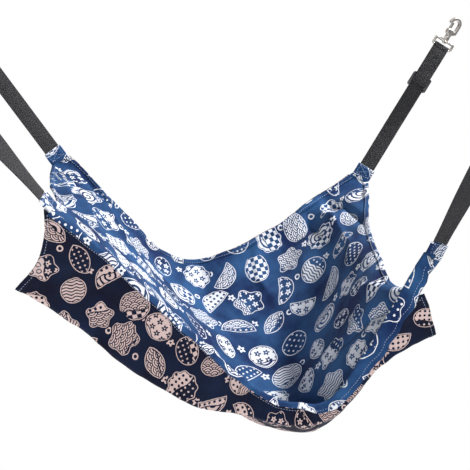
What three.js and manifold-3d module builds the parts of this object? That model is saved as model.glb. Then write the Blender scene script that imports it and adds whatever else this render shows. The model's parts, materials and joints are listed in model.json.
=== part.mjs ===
// Cat hammock: a cloth seat with a sleeping pocket under it, hung from four hooks on webbing straps.
// Millimetres and degrees. +X is the seat's long way, the front is -Y, +Z is up.
// The origin is the centre of the four points where the hooks take the weight.

import * as THREE from 'three';
import { mergeVertices } from 'three/addons/utils/BufferGeometryUtils.js';
import Module from 'manifold-3d';

const wasm = await Module();
wasm.setup();

// Fit
const pieceGap = 0.3;
const cutOverrun = 1;
const mergeStep = 0.0001;

// Seat cloth
const seamSpan = 506;
const seamDepth = 420;
const clothThickness = 1.6;
const frontRimSag = 244;
const backRimSag = 158;
const leftEdgeSag = 36;
const rightEdgeSag = 96;
const frontRimBow = 9;
const backRimBow = 30;
const bowlDepth = 76;
const foldHeight = 7;
const foldReach = 150;
const foldsPerCorner = 4;
const hornBlend = 80;
const edgePullPower = 3;
const seatColumns = 28;
const seatRows = 20;

// Pocket cloth
const pocketDrop = 270;
const pocketTipDrop = 64;
const pocketUnderGap = 9;
const pocketUnderSlack = 20;
const pocketSearch = 24;
const pocketRimGap = 2.4;
const pocketTabGap = 2.6;
const pocketHemTuck = 5;
const pocketEndInset = 15;
const leftHemPower = 3;
const rightHemPower = 0.8;
const pocketColumns = 28;
const pocketPanelRows = 4;
const pocketUnderRows = 15;
const pocketBackDrop = 22;

// Hang: how high the hooks stand above the seams' level, how far the farthest one stands out from
// its seam, endways and sideways, and how far the highest seam is off that level
const hangHeight = 259;
const hookReachMost = 249;
const hookReachFront = 22;
const hookReachBack = 22;
const seamRiseMost = 11.5;

// Corner tab of doubled cloth over the sewn strap end
const tabLength = 18;
const tabWidth = 29;
const tabThickness = 3.6;
const hornGap = 0.9;

// Webbing strap
const webWidth = 25;
const webThickness = 1.6;
const webTwistSteps = 12;
const webLoopTail = 4;
const webLoopSteps = 8;

// Slider: a three-bar frame that the webbing threads
const sliderFromEye = 66;
const sliderTravelDown = 40;
const sliderLength = 24;
const sliderRailWidth = 3.2;
const sliderBar = 4;
const sliderBarThickness = 2.2;
const sliderSideGap = 0.5;
const sliderCorner = 3;
const sliderClear = 6;
const webWrapLength = 16;
const webWrapInset = 0.6;

// Swivel eye
const eyeWire = 4;
const eyeDepth = 11;
const eyeSideGap = 1;
const eyeRunGap = 0.5;
const eyeBevel = 1.15;
const eyeCorner = 4;
const eyeInnerCorner = 0.6;
const bossRadius = 4.6;
const bossLength = 7;

// Snap hook
const postRadius = 2;
const postHeadRadius = 3.4;
const postHeadLength = 1.6;
const collarRadius = 4.4;
const collarLength = 4;
const hookThickness = 7;
const hookBarWidth = 4.4;
const throatRadius = 6;
const throatLength = 11;
const crownFacets = 9;
const hookBevel = 0.9;
const hookBaseLength = 9;
const hookCheek = 1.4;
const noseLip = 2.6;
const gateSlotWidth = 5.4;

// Gate with its rivet and spring
const gateThickness = 3;
const gateWidth = 4.4;
const gateSlotFloor = 1;
const gatePivotBack = 4.4;
const knuckleRadius = 2.7;
const knuckleWidth = 2.4;
const rivetRadius = 1.2;
const rivetHeadRadius = 2.1;
const rivetHeadHeight = 0.7;
const springWire = 0.5;
const springPitch = 0.95;
const springTurns = 1.8;
const springFromKnuckle = 0.6;

// Facets
const roundSides = 24;
const smallSides = 16;
const coilSteps = 12;
const coilSides = 5;

const halfSpan = seamSpan / 2;
const halfDepth = seamDepth / 2;

// Each corner: its side and end, its seam's rise and its hook's reach as shares of the most, and how
// far the webbing is turned about its own length at the seam and at the slider
const corners = [
  {
    name: 'front_left', side: -1, end: -1,
    riseShare: 0.565, reachShare: 1, seamTurn: -20, slideTurn: -95,
  },
  {
    name: 'front_right', side: 1, end: -1,
    riseShare: -0.65, reachShare: 0.325, seamTurn: -50, slideTurn: -85,
  },
  {
    name: 'back_left', side: -1, end: 1,
    riseShare: -0.915, reachShare: 0.96, seamTurn: -70, slideTurn: -75,
  },
  {
    name: 'back_right', side: 1, end: 1,
    riseShare: 1, reachShare: 0.474, seamTurn: 70, slideTurn: 70,
  },
];

// Stations of the rims: place along the half span, then height as a share of the rim's sag
const frontRimShares = [
  [-1, 0.03], [-0.81, -0.12], [-0.57, -0.34], [-0.26, -0.6], [0.07, -0.87], [0.25, -0.975], [0.44, -1],
  [0.54, -0.985], [0.66, -0.82], [0.78, -0.62], [0.87, -0.41], [0.95, -0.23], [1, -0.08],
];
const backRimShares = [
  [-1, -0.05], [-0.87, -0.12], [-0.64, -0.45], [-0.48, -0.66], [-0.31, -0.91], [-0.18, -1], [0, -1],
  [0.24, -0.81], [0.47, -0.58], [0.59, -0.39], [0.77, -0.16], [0.89, 0.01], [1, 0.1],
];
// Stations of the side edges: place along the half depth, width as a share of the half span, height
const leftEdgeShares = [
  [-1, -0.96, -0.3], [-0.57, -0.935, -0.55], [-0.2, -0.94, -0.98], [0.25, -0.975, -0.98], [0.6, -1, -1],
  [0.85, -1.02, -0.75], [1, -1.03, -0.55],
];
const rightEdgeShares = [
  [-1, 0.98, -0.3], [-0.85, 0.92, -0.93], [-0.55, 0.88, -0.9], [-0.3, 0.89, -0.78], [0, 0.905, -0.74],
  [0.35, 0.925, -0.52], [0.55, 0.955, -0.4], [0.78, 0.99, -0.12], [1, 1.03, 0.04],
];
// The pocket's lower front fold: place along the half span and height as a share of the drop
const pocketFoldShares = [
  [-1.09, -0.422], [-0.94, -0.5], [-0.77, -0.58], [-0.57, -0.72], [-0.42, -0.81], [-0.24, -0.9],
  [-0.09, -0.945], [0.12, -0.96], [0.4, -1], [0.56, -0.97], [0.64, -0.885], [0.71, -0.77],
  [0.81, -0.645], [0.91, -0.57], [1.055, -0.48],
];
const bowlCentreShare = 0.66;
const pocketTopShares = [-0.985, 0.95];
const pocketBackShares = [-0.89, 0.89];

// Smooth value through a table of stations; column picks which value
function through(stations, place, column = 1) {
  const last = stations.length - 2;
  const past = stations.findIndex((station) => place <= station[0]);
  const k = past < 0 ? last : Math.max(past - 1, 0);
  const [x0, x1] = [stations[k][0], stations[k + 1][0]];
  const [y0, y1] = [stations[k][column], stations[k + 1][column]];
  const slopeAt = (i) => {
    const a = stations[Math.max(i - 1, 0)];
    const b = stations[Math.min(i + 1, stations.length - 1)];
    return (b[column] - a[column]) / (b[0] - a[0]);
  };
  const t = THREE.MathUtils.clamp((place - x0) / (x1 - x0), 0, 1);
  const width = x1 - x0;
  const ease = t * t * (3 - 2 * t);
  const leaving = t * (1 - t) ** 2;
  const arriving = t * t * (t - 1);
  return y0 + (y1 - y0) * ease + width * (leaving * slopeAt(k) + arriving * slopeAt(k + 1));
}

// The cloth hangs where the four hooks balance round the origin
const reachOf = (corner) => corner.side * (halfSpan + corner.reachShare * hookReachMost);
const meanReach = corners.reduce((sum, corner) => sum + reachOf(corner), 0) / corners.length;
const clothCentre = new THREE.Vector3(-meanReach, 0, -hangHeight);

// Seam point, the strap's own axes and the way from the seam to the hook's bearing point
function hang(corner) {
  const rise = corner.riseShare * seamRiseMost;
  const seam = new THREE.Vector3(corner.side * halfSpan, corner.end * halfDepth, rise);
  const sideways = corner.end < 0 ? hookReachFront : hookReachBack;
  const endways = corner.reachShare * hookReachMost;
  const crown = seam.clone().add(new THREE.Vector3(corner.side * endways, corner.end * sideways, 0));
  crown.setZ(hangHeight);
  const along = crown.clone().sub(seam);
  const length = along.length();
  along.normalize();
  const level = new THREE.Vector3(0, 0, 1).cross(along).normalize();
  const upper = along.clone().cross(level);
  return { seam, along, level, upper, length };
}

// Direction across the webbing when it is turned about its own length
function across(h, turn) {
  const angle = THREE.MathUtils.degToRad(turn);
  return h.level.clone().multiplyScalar(Math.cos(angle)).addScaledVector(h.upper, Math.sin(angle));
}

// A group whose X runs up the strap, Y across the webbing and Z off its upper face
function strapGroup(h, turn) {
  const y = across(h, turn);
  const z = h.along.clone().cross(y);
  const group = new THREE.Group();
  const turned = new THREE.Matrix4().makeBasis(h.along, y, z);
  group.quaternion.setFromRotationMatrix(turned);
  group.position.copy(h.seam).add(clothCentre);
  return group;
}

// The two corners of the cloth where it meets a tab: on the rim side and on the side-edge side
function hornCorners(corner) {
  const h = hang(corner);
  const tip = h.seam.clone().addScaledVector(h.along, -(tabLength + hornGap));
  const w = across(h, corner.seamTurn);
  if (corner.end * w.y < corner.side * w.x) w.negate();
  const half = tabWidth / 2;
  return { rim: tip.clone().addScaledVector(w, half), edge: tip.clone().addScaledVector(w, -half) };
}

const cornerAt = (side, end) => corners.find((c) => c.side === side && c.end === end);
const horns = new Map(corners.map((c) => [c, hornCorners(c)]));

function rimPoint(end, share) {
  const shares = end < 0 ? frontRimShares : backRimShares;
  const sag = end < 0 ? frontRimSag : backRimSag;
  const bow = end < 0 ? frontRimBow : backRimBow;
  const y = end * (halfDepth - bow * Math.max(0, 1 - share ** 2));
  return new THREE.Vector3(share * halfSpan, y, through(shares, share) * sag);
}

function edgePoint(side, share) {
  const shares = side < 0 ? leftEdgeShares : rightEdgeShares;
  const sag = side < 0 ? leftEdgeSag : rightEdgeSag;
  const x = through(shares, share, 1) * halfSpan;
  return new THREE.Vector3(x, share * halfDepth, through(shares, share, 2) * sag);
}

// A curve drawn over to the two horn corners at its ends
function towardHorns(point, plain, ends, along) {
  const moved = point.clone();
  for (const target of ends) {
    const off = target.clone().sub(plain(target));
    const near = 1 - Math.min(1, Math.abs(point[along] - target[along]) / hornBlend);
    moved.addScaledVector(off, near * near * (3 - 2 * near));
  }
  return moved;
}

function rimCurve(end, share) {
  const ends = [horns.get(cornerAt(-1, end)).rim, horns.get(cornerAt(1, end)).rim];
  return towardHorns(rimPoint(end, share), (p) => rimPoint(end, p.x / halfSpan), ends, 'x');
}

function edgeCurve(side, share) {
  const ends = [horns.get(cornerAt(side, -1)).edge, horns.get(cornerAt(side, 1)).edge];
  return towardHorns(edgePoint(side, share), (p) => edgePoint(side, p.y / halfDepth), ends, 'y');
}

// Boundary of the seat at whole grid steps; the first and last step stand for the strap seams
function seatRim(end, column) {
  const [left, right] = [cornerAt(-1, end), cornerAt(1, end)];
  if (column === 0) return hang(left).seam;
  if (column === seatColumns) return hang(right).seam;
  if (column === 1) return horns.get(left).rim.clone();
  if (column === seatColumns - 1) return horns.get(right).rim.clone();
  const first = horns.get(left).rim.x / halfSpan;
  const last = horns.get(right).rim.x / halfSpan;
  return rimCurve(end, THREE.MathUtils.lerp(first, last, (column - 1) / (seatColumns - 2)));
}

function seatEdge(side, row) {
  const [front, back] = [cornerAt(side, -1), cornerAt(side, 1)];
  if (row === 0) return hang(front).seam;
  if (row === seatRows) return hang(back).seam;
  if (row === 1) return horns.get(front).edge.clone();
  if (row === seatRows - 1) return horns.get(back).edge.clone();
  const first = horns.get(front).edge.y / halfDepth;
  const last = horns.get(back).edge.y / halfDepth;
  return edgeCurve(side, THREE.MathUtils.lerp(first, last, (row - 1) / (seatRows - 2)));
}

// Pull folds that fan out from a corner and die away across the cloth
function cornerFolds(point, corner) {
  const seam = hang(corner).seam;
  const dx = (point.x - seam.x) * -corner.side;
  const dy = (point.y - seam.y) * -corner.end;
  const distance = Math.hypot(dx, dy);
  const angle = Math.atan2(dy, dx);
  const fan = Math.cos(angle * foldsPerCorner * 2);
  const swell = (distance / foldReach) * Math.exp(1 - distance / foldReach);
  return foldHeight * fan * swell * Math.sin(2 * THREE.MathUtils.clamp(angle, 0, Math.PI / 2));
}

// Middle surface of the seat: a patch between its four edges, deepened into a bowl and folded
function seatPoint(column, row) {
  const u = column / seatColumns;
  const v = row / seatRows;
  const [front, back] = [seatRim(-1, column), seatRim(1, column)];
  const [left, right] = [seatEdge(-1, row), seatEdge(1, row)];
  const onRim = row === 0 || row === seatRows;
  const onEdge = column === 0 || column === seatColumns;
  if (onRim && onEdge) {
    const horn = horns.get(cornerAt(column === 0 ? -1 : 1, row === 0 ? -1 : 1));
    return horn.rim.clone().lerp(horn.edge, 0.5);
  }
  const point = front.clone().lerp(back, v);
  const leftLine = seatRim(-1, 0).clone().lerp(seatRim(1, 0), v);
  const rightLine = seatRim(-1, seatColumns).clone().lerp(seatRim(1, seatColumns), v);
  point.addScaledVector(left.sub(leftLine), (1 - u) ** edgePullPower);
  point.addScaledVector(right.sub(rightLine), u ** edgePullPower);
  const bowlU = Math.sin(Math.PI * u ** (Math.log(0.5) / Math.log(bowlCentreShare)));
  const bowlV = Math.sin(Math.PI * v);
  point.z -= bowlDepth * bowlU * bowlU * bowlV;
  if (!onRim && !onEdge) {
    const rise = corners.reduce((sum, corner) => sum + cornerFolds(point, corner), 0);
    point.z += rise;
  }
  return point;
}

// Closed sheet of one thickness over a grid of middle-surface points, wound so that it faces out
function sheetGeometry(grid, thickness) {
  const columns = grid.length - 1;
  const rows = grid[0].length - 1;
  const positions = [];
  const normalAt = (i, j) => {
    const a = grid[Math.min(i + 1, columns)][j].clone().sub(grid[Math.max(i - 1, 0)][j]);
    const b = grid[i][Math.min(j + 1, rows)].clone().sub(grid[i][Math.max(j - 1, 0)]);
    return a.cross(b).normalize();
  };
  for (const face of [0.5, -0.5]) {
    for (let i = 0; i <= columns; i += 1) {
      for (let j = 0; j <= rows; j += 1) {
        const p = grid[i][j].clone().addScaledVector(normalAt(i, j), face * thickness);
        positions.push(p.x, p.y, p.z);
      }
    }
  }
  const top = (i, j) => i * (rows + 1) + j;
  const under = (i, j) => top(i, j) + (columns + 1) * (rows + 1);
  const index = [];
  const quad = (a, b, c, d) => index.push(a, b, c, a, c, d);
  for (let i = 0; i < columns; i += 1) {
    for (let j = 0; j < rows; j += 1) {
      quad(top(i, j), top(i + 1, j), top(i + 1, j + 1), top(i, j + 1));
      quad(under(i, j), under(i, j + 1), under(i + 1, j + 1), under(i + 1, j));
    }
  }
  for (let i = 0; i < columns; i += 1) {
    quad(top(i, 0), under(i, 0), under(i + 1, 0), top(i + 1, 0));
    quad(top(i, rows), top(i + 1, rows), under(i + 1, rows), under(i, rows));
  }
  for (let j = 0; j < rows; j += 1) {
    quad(top(0, j), top(0, j + 1), under(0, j + 1), under(0, j));
    quad(top(columns, j), under(columns, j), under(columns, j + 1), top(columns, j + 1));
  }
  const geometry = new THREE.BufferGeometry();
  geometry.setAttribute('position', new THREE.Float32BufferAttribute(positions, 3));
  geometry.setIndex(index);
  return geometry;
}

function gridOf(columns, rows, pointAt) {
  const rowOf = (i) => Array.from({ length: rows + 1 }, (_, j) => pointAt(i, j));
  return Array.from({ length: columns + 1 }, (_, i) => rowOf(i));
}

// Finishes
function finish(colour, roughness, metalness = 0) {
  return new THREE.MeshStandardMaterial({ color: colour, roughness, metalness });
}
const seatFinish = finish(0x2f6ea8, 0.9);
const pocketFinish = finish(0x1b2550, 0.9);
const webFinish = finish(0x1c1c1f, 0.85);
const sliderFinish = finish(0x2b2c2f, 0.45);
const metalFinish = finish(0xc9c6c4, 0.3, 1);
const springFinish = finish(0xa9abae, 0.35, 1);

function piece(name, geometry, material) {
  const mesh = new THREE.Mesh(geometry, material);
  mesh.name = name;
  return mesh;
}

function seatCloth() {
  const grid = gridOf(seatColumns, seatRows, seatPoint);
  const mesh = piece('seat_cloth', sheetGeometry(grid, clothThickness), seatFinish);
  mesh.position.copy(clothCentre);
  return mesh;
}

// Lowest height of the seat's middle surface round about a place
function seatHeight(grid, x, y) {
  const near = grid.flat().filter((p) => Math.hypot(p.x - x, p.y - y) < pocketSearch);
  return Math.min(...near.map((p) => p.z));
}

// Top edge of the pocket's front panel, just outside the seat's rim and clear of the left tab
function pocketTop(u) {
  const share = THREE.MathUtils.lerp(...pocketTopShares, u);
  const point = rimCurve(-1, share);
  const nearTab = Math.max(0, 1 - u * pocketColumns / 2);
  const nearTip = Math.max(0, 1 - (1 - u) * pocketColumns / 2);
  point.y -= pocketRimGap + pocketTabGap * nearTab;
  point.z -= pocketTipDrop * nearTip;
  return point;
}

function pocketFold(u) {
  const first = pocketFoldShares[0][0];
  const last = pocketFoldShares[pocketFoldShares.length - 1][0];
  const share = THREE.MathUtils.lerp(first, last, u);
  const drop = through(pocketFoldShares, share) * pocketDrop;
  return new THREE.Vector3(share * halfSpan, -halfDepth, drop);
}

function pocketBack(u) {
  const point = rimCurve(1, THREE.MathUtils.lerp(...pocketBackShares, u));
  point.y += pocketRimGap;
  return point;
}

// Middle surface of the pocket: down the front panel, under the seat and up the back of its rim
function pocketPoint(grid, column, row) {
  const u = column / pocketColumns;
  const fold = pocketFold(u);
  if (row <= pocketPanelRows) {
    const t = row / pocketPanelRows;
    const top = pocketTop(u);
    const power = THREE.MathUtils.lerp(leftHemPower, rightHemPower, u);
    const point = top.clone().lerp(fold, t);
    point.x = THREE.MathUtils.lerp(top.x, fold.x, t ** power);
    point.x += pocketHemTuck * Math.sin(Math.PI * t) * (1 - u) ** 2;
    return point;
  }
  const back = pocketBack(u);
  if (row > pocketPanelRows + pocketUnderRows) return back;
  const t = (row - pocketPanelRows) / pocketUnderRows;
  back.z -= pocketBackDrop;
  const point = fold.clone().lerp(back, t);
  point.x += pocketEndInset * Math.sin(Math.PI * t) * (1 - 2 * u) ** 3;
  point.z -= pocketUnderSlack * Math.sin(Math.PI * t);
  point.z = Math.min(point.z, seatHeight(grid, point.x, point.y) - pocketUnderGap);
  return point;
}

function pocketCloth() {
  const seat = gridOf(seatColumns, seatRows, seatPoint);
  const rows = pocketPanelRows + pocketUnderRows + 1;
  const grid = gridOf(pocketColumns, rows, (i, j) => pocketPoint(seat, i, j));
  const mesh = piece('pocket_cloth', sheetGeometry(grid, clothThickness), pocketFinish);
  mesh.position.copy(clothCentre);
  return mesh;
}

// Closed band of one rectangular section swept through stations of place, width and thickness axes
function bandGeometry(stations, width, thickness) {
  const positions = [];
  const cornerShares = [[-0.5, -0.5], [0.5, -0.5], [0.5, 0.5], [-0.5, 0.5]];
  for (const { at, wide, thick } of stations) {
    for (const [w, t] of cornerShares) {
      const p = at.clone().addScaledVector(wide, w * width).addScaledVector(thick, t * thickness);
      positions.push(p.x, p.y, p.z);
    }
  }
  const index = [];
  const quad = (a, b, c, d) => index.push(a, b, c, a, c, d);
  for (let k = 0; k < stations.length - 1; k += 1) {
    for (let e = 0; e < 4; e += 1) {
      const f = (e + 1) % 4;
      quad(4 * k + e, 4 * k + f, 4 * (k + 1) + f, 4 * (k + 1) + e);
    }
  }
  const end = 4 * (stations.length - 1);
  quad(3, 2, 1, 0);
  quad(end, end + 1, end + 2, end + 3);
  const geometry = new THREE.BufferGeometry();
  geometry.setAttribute('position', new THREE.Float32BufferAttribute(positions, 3));
  geometry.setIndex(index);
  return geometry;
}

// Values that the strap's pieces share, in the strap's own frame
const loopRadius = eyeWire / 2 + eyeRunGap + webThickness / 2;
const eyeToCrown = eyeDepth + bossLength + pieceGap + collarLength + hookBaseLength + throatLength
  + throatRadius * Math.cos(Math.PI / crownFacets / 2);
const barUnder = -loopRadius + webThickness * 1.5 + pieceGap * 2;
const wrapRadius = sliderBarThickness / 2 + pieceGap + webThickness / 2;
const barMiddle = barUnder + sliderBarThickness / 2;
const eyeBar = (h) => h.length - eyeToCrown;
const sliderPlace = (h) => eyeBar(h) - sliderFromEye;

const acrossAxis = new THREE.Vector3(0, 1, 0);

// A station on the webbing where it runs in the X-Z plane, leaning by an angle from +X
function flatStation(x, z, lean) {
  const thick = new THREE.Vector3(-Math.sin(lean), 0, Math.cos(lean));
  return { at: new THREE.Vector3(x, 0, z), wide: acrossAxis, thick };
}

function arcStations(x, z, radius, from, to, steps) {
  const stations = [];
  for (let k = 0; k <= steps; k += 1) {
    const angle = THREE.MathUtils.lerp(from, to, k / steps);
    const way = angle + Math.sign(to - from) * Math.PI / 2;
    stations.push(flatStation(x + radius * Math.cos(angle), z + radius * Math.sin(angle), way));
  }
  return stations;
}

// Webbing from the seam, turning to its slider and round the eye
function strapWebbing(corner, h) {
  const turnEnd = sliderPlace(h) - sliderTravelDown - sliderLength / 2 - sliderClear;
  const turn = THREE.MathUtils.degToRad(corner.seamTurn - corner.slideTurn);
  const stations = [];
  for (let k = 0; k <= webTwistSteps; k += 1) {
    const t = k / webTwistSteps;
    const ease = THREE.MathUtils.smoothstep(t, 0, 1);
    const angle = turn * (1 - ease);
    stations.push({
      at: new THREE.Vector3(THREE.MathUtils.lerp(pieceGap, turnEnd, t), 0, -loopRadius * ease),
      wide: new THREE.Vector3(0, Math.cos(angle), Math.sin(angle)),
      thick: new THREE.Vector3(0, -Math.sin(angle), Math.cos(angle)),
    });
  }
  stations.push(...arcStations(eyeBar(h), 0, loopRadius, -Math.PI / 2, Math.PI / 2, webLoopSteps));
  stations.push(flatStation(eyeBar(h) - webLoopTail, loopRadius, Math.PI));
  const geometry = bandGeometry(stations, webWidth, webThickness);
  return piece(`strap_webbing_${corner.name}`, geometry, webFinish);
}

// Second layer of webbing, from the loop back to the slider's bar and round it
function strapReturn(corner, h) {
  const place = sliderPlace(h);
  const turnX = place - sliderBar / 2 + webWrapInset;
  const stations = [
    flatStation(eyeBar(h) - webLoopTail - pieceGap, loopRadius, Math.PI),
    flatStation(place + sliderLength / 2 + sliderClear, barMiddle + wrapRadius, Math.PI),
    ...arcStations(turnX, barMiddle, wrapRadius, Math.PI / 2, Math.PI * 1.5, webLoopSteps),
    flatStation(place + webWrapLength, barMiddle - wrapRadius, 2 * Math.PI),
  ];
  const geometry = bandGeometry(stations, webWidth, webThickness);
  return piece(`strap_return_${corner.name}`, geometry, webFinish);
}

// Rounded rectangle about the origin
function roundedRectangle(length, width, radius, Form = THREE.Shape) {
  const [x, y] = [length / 2, width / 2];
  const form = new Form();
  form.moveTo(-x + radius, -y);
  form.lineTo(x - radius, -y);
  form.absarc(x - radius, -y + radius, radius, -Math.PI / 2, 0);
  form.lineTo(x, y - radius);
  form.absarc(x - radius, y - radius, radius, 0, Math.PI / 2);
  form.lineTo(-x + radius, y);
  form.absarc(-x + radius, y - radius, radius, Math.PI / 2, Math.PI);
  form.lineTo(-x, -y + radius);
  form.absarc(-x + radius, -y + radius, radius, Math.PI, Math.PI * 1.5);
  return form;
}

// Solids for joining and cutting
function solid(geometry) {
  const bare = geometry.index ? geometry.toNonIndexed() : geometry.clone();
  bare.deleteAttribute('normal');
  bare.deleteAttribute('uv');
  const merged = mergeVertices(bare, mergeStep);
  return new wasm.Manifold(new wasm.Mesh({
    numProp: 3,
    vertProperties: new Float32Array(merged.attributes.position.array),
    triVerts: new Uint32Array(merged.index.array),
  }));
}

function geometryOf(body) {
  const { vertProperties, triVerts, numProp } = body.getMesh();
  const geometry = new THREE.BufferGeometry();
  geometry.setAttribute('position', new THREE.BufferAttribute(vertProperties, numProp));
  geometry.setIndex([...triVerts]);
  return geometry;
}

function block(low, high) {
  const geometry = new THREE.BoxGeometry(high[0] - low[0], high[1] - low[1], high[2] - low[2]);
  return geometry.translate((low[0] + high[0]) / 2, (low[1] + high[1]) / 2, (low[2] + high[2]) / 2);
}

// A cylinder along X between two places
function barAlongX(radius, from, to, sides = roundSides) {
  const geometry = new THREE.CylinderGeometry(radius, radius, to - from, sides);
  return geometry.rotateZ(-Math.PI / 2).translate((from + to) / 2, 0, 0);
}

function barAlongY(radius, from, to, x, z, sides = smallSides) {
  const geometry = new THREE.CylinderGeometry(radius, radius, to - from, sides);
  return geometry.translate(x, (from + to) / 2, z);
}

// Tri-glide slider: two rails, two end bars under the webbing and a middle bar over it
function slider(corner, h) {
  const inside = webWidth / 2 + sliderSideGap;
  const outside = inside + sliderRailWidth;
  const end = sliderLength / 2;
  const channelFloor = -loopRadius - webThickness / 2 - pieceGap;
  const bottom = channelFloor - sliderBarThickness;
  const top = barUnder + sliderBarThickness;
  const outline = roundedRectangle(sliderLength, outside * 2, sliderCorner);
  const depth = top - bottom;
  const plate = new THREE.ExtrudeGeometry(outline, { depth, bevelEnabled: false, curveSegments: 4 });
  const past = end + cutOverrun;
  const half = sliderBar / 2;
  const window = end - sliderBar;
  const cuts = [
    block([-past, -inside, channelFloor], [past, inside, barUnder]),
    block([-past, -inside, barUnder - pieceGap], [-half, inside, top + cutOverrun]),
    block([half, -inside, barUnder - pieceGap], [past, inside, top + cutOverrun]),
    block([-window, -inside, bottom - cutOverrun], [window, inside, channelFloor + pieceGap]),
  ];
  const whole = solid(plate.translate(0, 0, bottom));
  const body = cuts.reduce((left, cut) => left.subtract(solid(cut)), whole);
  const mesh = piece(`strap_slider_${corner.name}`, geometryOf(body), sliderFinish);
  mesh.position.x = sliderPlace(h);
  return mesh;
}

// Rectangular eye with the boss that the hook swivels in
function swivelEye(corner, h) {
  const innerHalf = webWidth / 2 + eyeSideGap;
  const length = eyeDepth + eyeWire;
  const width = innerHalf * 2 + eyeWire * 2;
  const outline = roundedRectangle(length, width, eyeCorner);
  const hole = roundedRectangle(eyeDepth - eyeWire, innerHalf * 2, eyeInnerCorner, THREE.Path);
  outline.holes.push(hole);
  const ring = new THREE.ExtrudeGeometry(outline, {
    depth: eyeWire - eyeBevel * 2,
    bevelThickness: eyeBevel,
    bevelSize: eyeBevel,
    bevelOffset: -eyeBevel,
    bevelSegments: 1,
    curveSegments: 4,
  });
  ring.translate(eyeDepth / 2, 0, -eyeWire / 2 + eyeBevel);
  const far = eyeDepth + bossLength;
  const boss = barAlongX(bossRadius, eyeDepth, far);
  const postHole = barAlongX(postRadius + pieceGap, eyeDepth - eyeWire, far + cutOverrun);
  const body = solid(ring).add(solid(boss)).subtract(solid(postHole));
  const mesh = piece(`swivel_eye_${corner.name}`, geometryOf(body), metalFinish);
  mesh.position.x = eyeBar(h);
  return mesh;
}

// Outline of the snap hook in its own plane; zero is the throat's floor
function hookOutline() {
  const [r, w] = [throatRadius, hookBarWidth];
  const form = new THREE.Shape();
  form.moveTo(-hookBaseLength, -collarRadius);
  form.lineTo(-hookBaseLength, collarRadius);
  form.lineTo(-hookBaseLength + hookCheek, r + hookCheek);
  form.lineTo(-hookCheek, r + hookCheek);
  form.lineTo(0, r);
  form.lineTo(0, -r);
  form.lineTo(throatLength, -r);
  for (let k = 1; k <= crownFacets; k += 1) {
    const angle = -Math.PI / 2 + (Math.PI * k) / crownFacets;
    form.lineTo(throatLength + r * Math.cos(angle), r * Math.sin(angle));
  }
  form.lineTo(throatLength - noseLip, r);
  form.lineTo(throatLength - noseLip, r + w / 2);
  form.lineTo(throatLength - noseLip / 2, r + w);
  for (let k = 0; k <= crownFacets; k += 1) {
    const angle = Math.PI / 2 - (Math.PI * k) / crownFacets;
    form.lineTo(throatLength + (r + w) * Math.cos(angle), (r + w) * Math.sin(angle));
  }
  form.lineTo(-hookBaseLength / 2, -r - w);
  return form;
}

const pivotX = -gatePivotBack;
const gateTop = throatRadius - pieceGap;
const pivotZ = gateTop - gateThickness / 2;

// Extrude an outline of the hook's plane across its thickness, centred on Y
function acrossHook(outline, thickness, bevel) {
  const geometry = new THREE.ExtrudeGeometry(outline, {
    depth: thickness - bevel * 2,
    bevelThickness: bevel,
    bevelSize: bevel,
    bevelOffset: -bevel,
    bevelSegments: 1,
  });
  return geometry.rotateX(Math.PI / 2).translate(0, thickness / 2 - bevel, 0);
}

function hookBody(corner) {
  const back = -hookBaseLength - collarLength;
  const boss = back - pieceGap - bossLength;
  const headEnd = boss - eyeWire / 2 - pieceGap;
  const half = hookThickness / 2 + cutOverrun;
  const joined = [
    barAlongX(collarRadius, back, -hookBaseLength + hookBevel),
    barAlongX(postRadius, headEnd - postHeadLength / 2, back + cutOverrun, smallSides),
    barAlongX(postHeadRadius, headEnd - postHeadLength, headEnd, smallSides),
  ];
  const slotBack = pivotX - knuckleRadius - pieceGap * 2;
  const slotTop = throatRadius + hookCheek + cutOverrun;
  const slotHalf = gateSlotWidth / 2;
  const cuts = [
    block([slotBack, -slotHalf, -gateSlotFloor], [cutOverrun, slotHalf, slotTop]),
    barAlongY(rivetRadius + pieceGap, -half, half, pivotX, pivotZ),
  ];
  const frame = solid(acrossHook(hookOutline(), hookThickness, hookBevel));
  const whole = joined.reduce((left, part) => left.add(solid(part)), frame);
  const body = cuts.reduce((left, cut) => left.subtract(solid(cut)), whole);
  return piece(`hook_body_${corner.name}`, geometryOf(body), metalFinish);
}

// Gate: a bar under the nose with a narrow knuckle on the rivet
function hookGate(corner) {
  const tip = throatLength - pieceGap;
  const under = gateTop - gateThickness;
  const barFrom = pieceGap * 2;
  const armFrom = -gateWidth / 2;
  const armTo = armFrom + knuckleWidth;
  const bar = block([barFrom, armFrom, under], [tip, gateWidth / 2, gateTop]);
  const arm = block([pivotX, armFrom, under], [barFrom + cutOverrun, armTo, gateTop]);
  const knuckle = barAlongY(knuckleRadius, armFrom, armTo, pivotX, pivotZ, roundSides);
  const boreRadius = rivetRadius + pieceGap;
  const bore = barAlongY(boreRadius, armFrom - cutOverrun, armTo + cutOverrun, pivotX, pivotZ);
  const body = solid(bar).add(solid(arm)).add(solid(knuckle)).subtract(solid(bore));
  return piece(`hook_gate_${corner.name}`, geometryOf(body), metalFinish);
}

function gateRivet(corner) {
  const face = hookThickness / 2 + pieceGap;
  const outer = face + rivetHeadHeight;
  const outline = [
    [0, -outer], [rivetHeadRadius, -outer], [rivetHeadRadius, -face], [rivetRadius, -face],
    [rivetRadius, face], [rivetHeadRadius, face], [rivetHeadRadius, outer], [0, outer],
  ];
  const profile = outline.map(([r, y]) => new THREE.Vector2(r, y));
  const geometry = new THREE.LatheGeometry(profile, smallSides).translate(pivotX, 0, pivotZ);
  return piece(`gate_rivet_${corner.name}`, geometry, springFinish);
}

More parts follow.
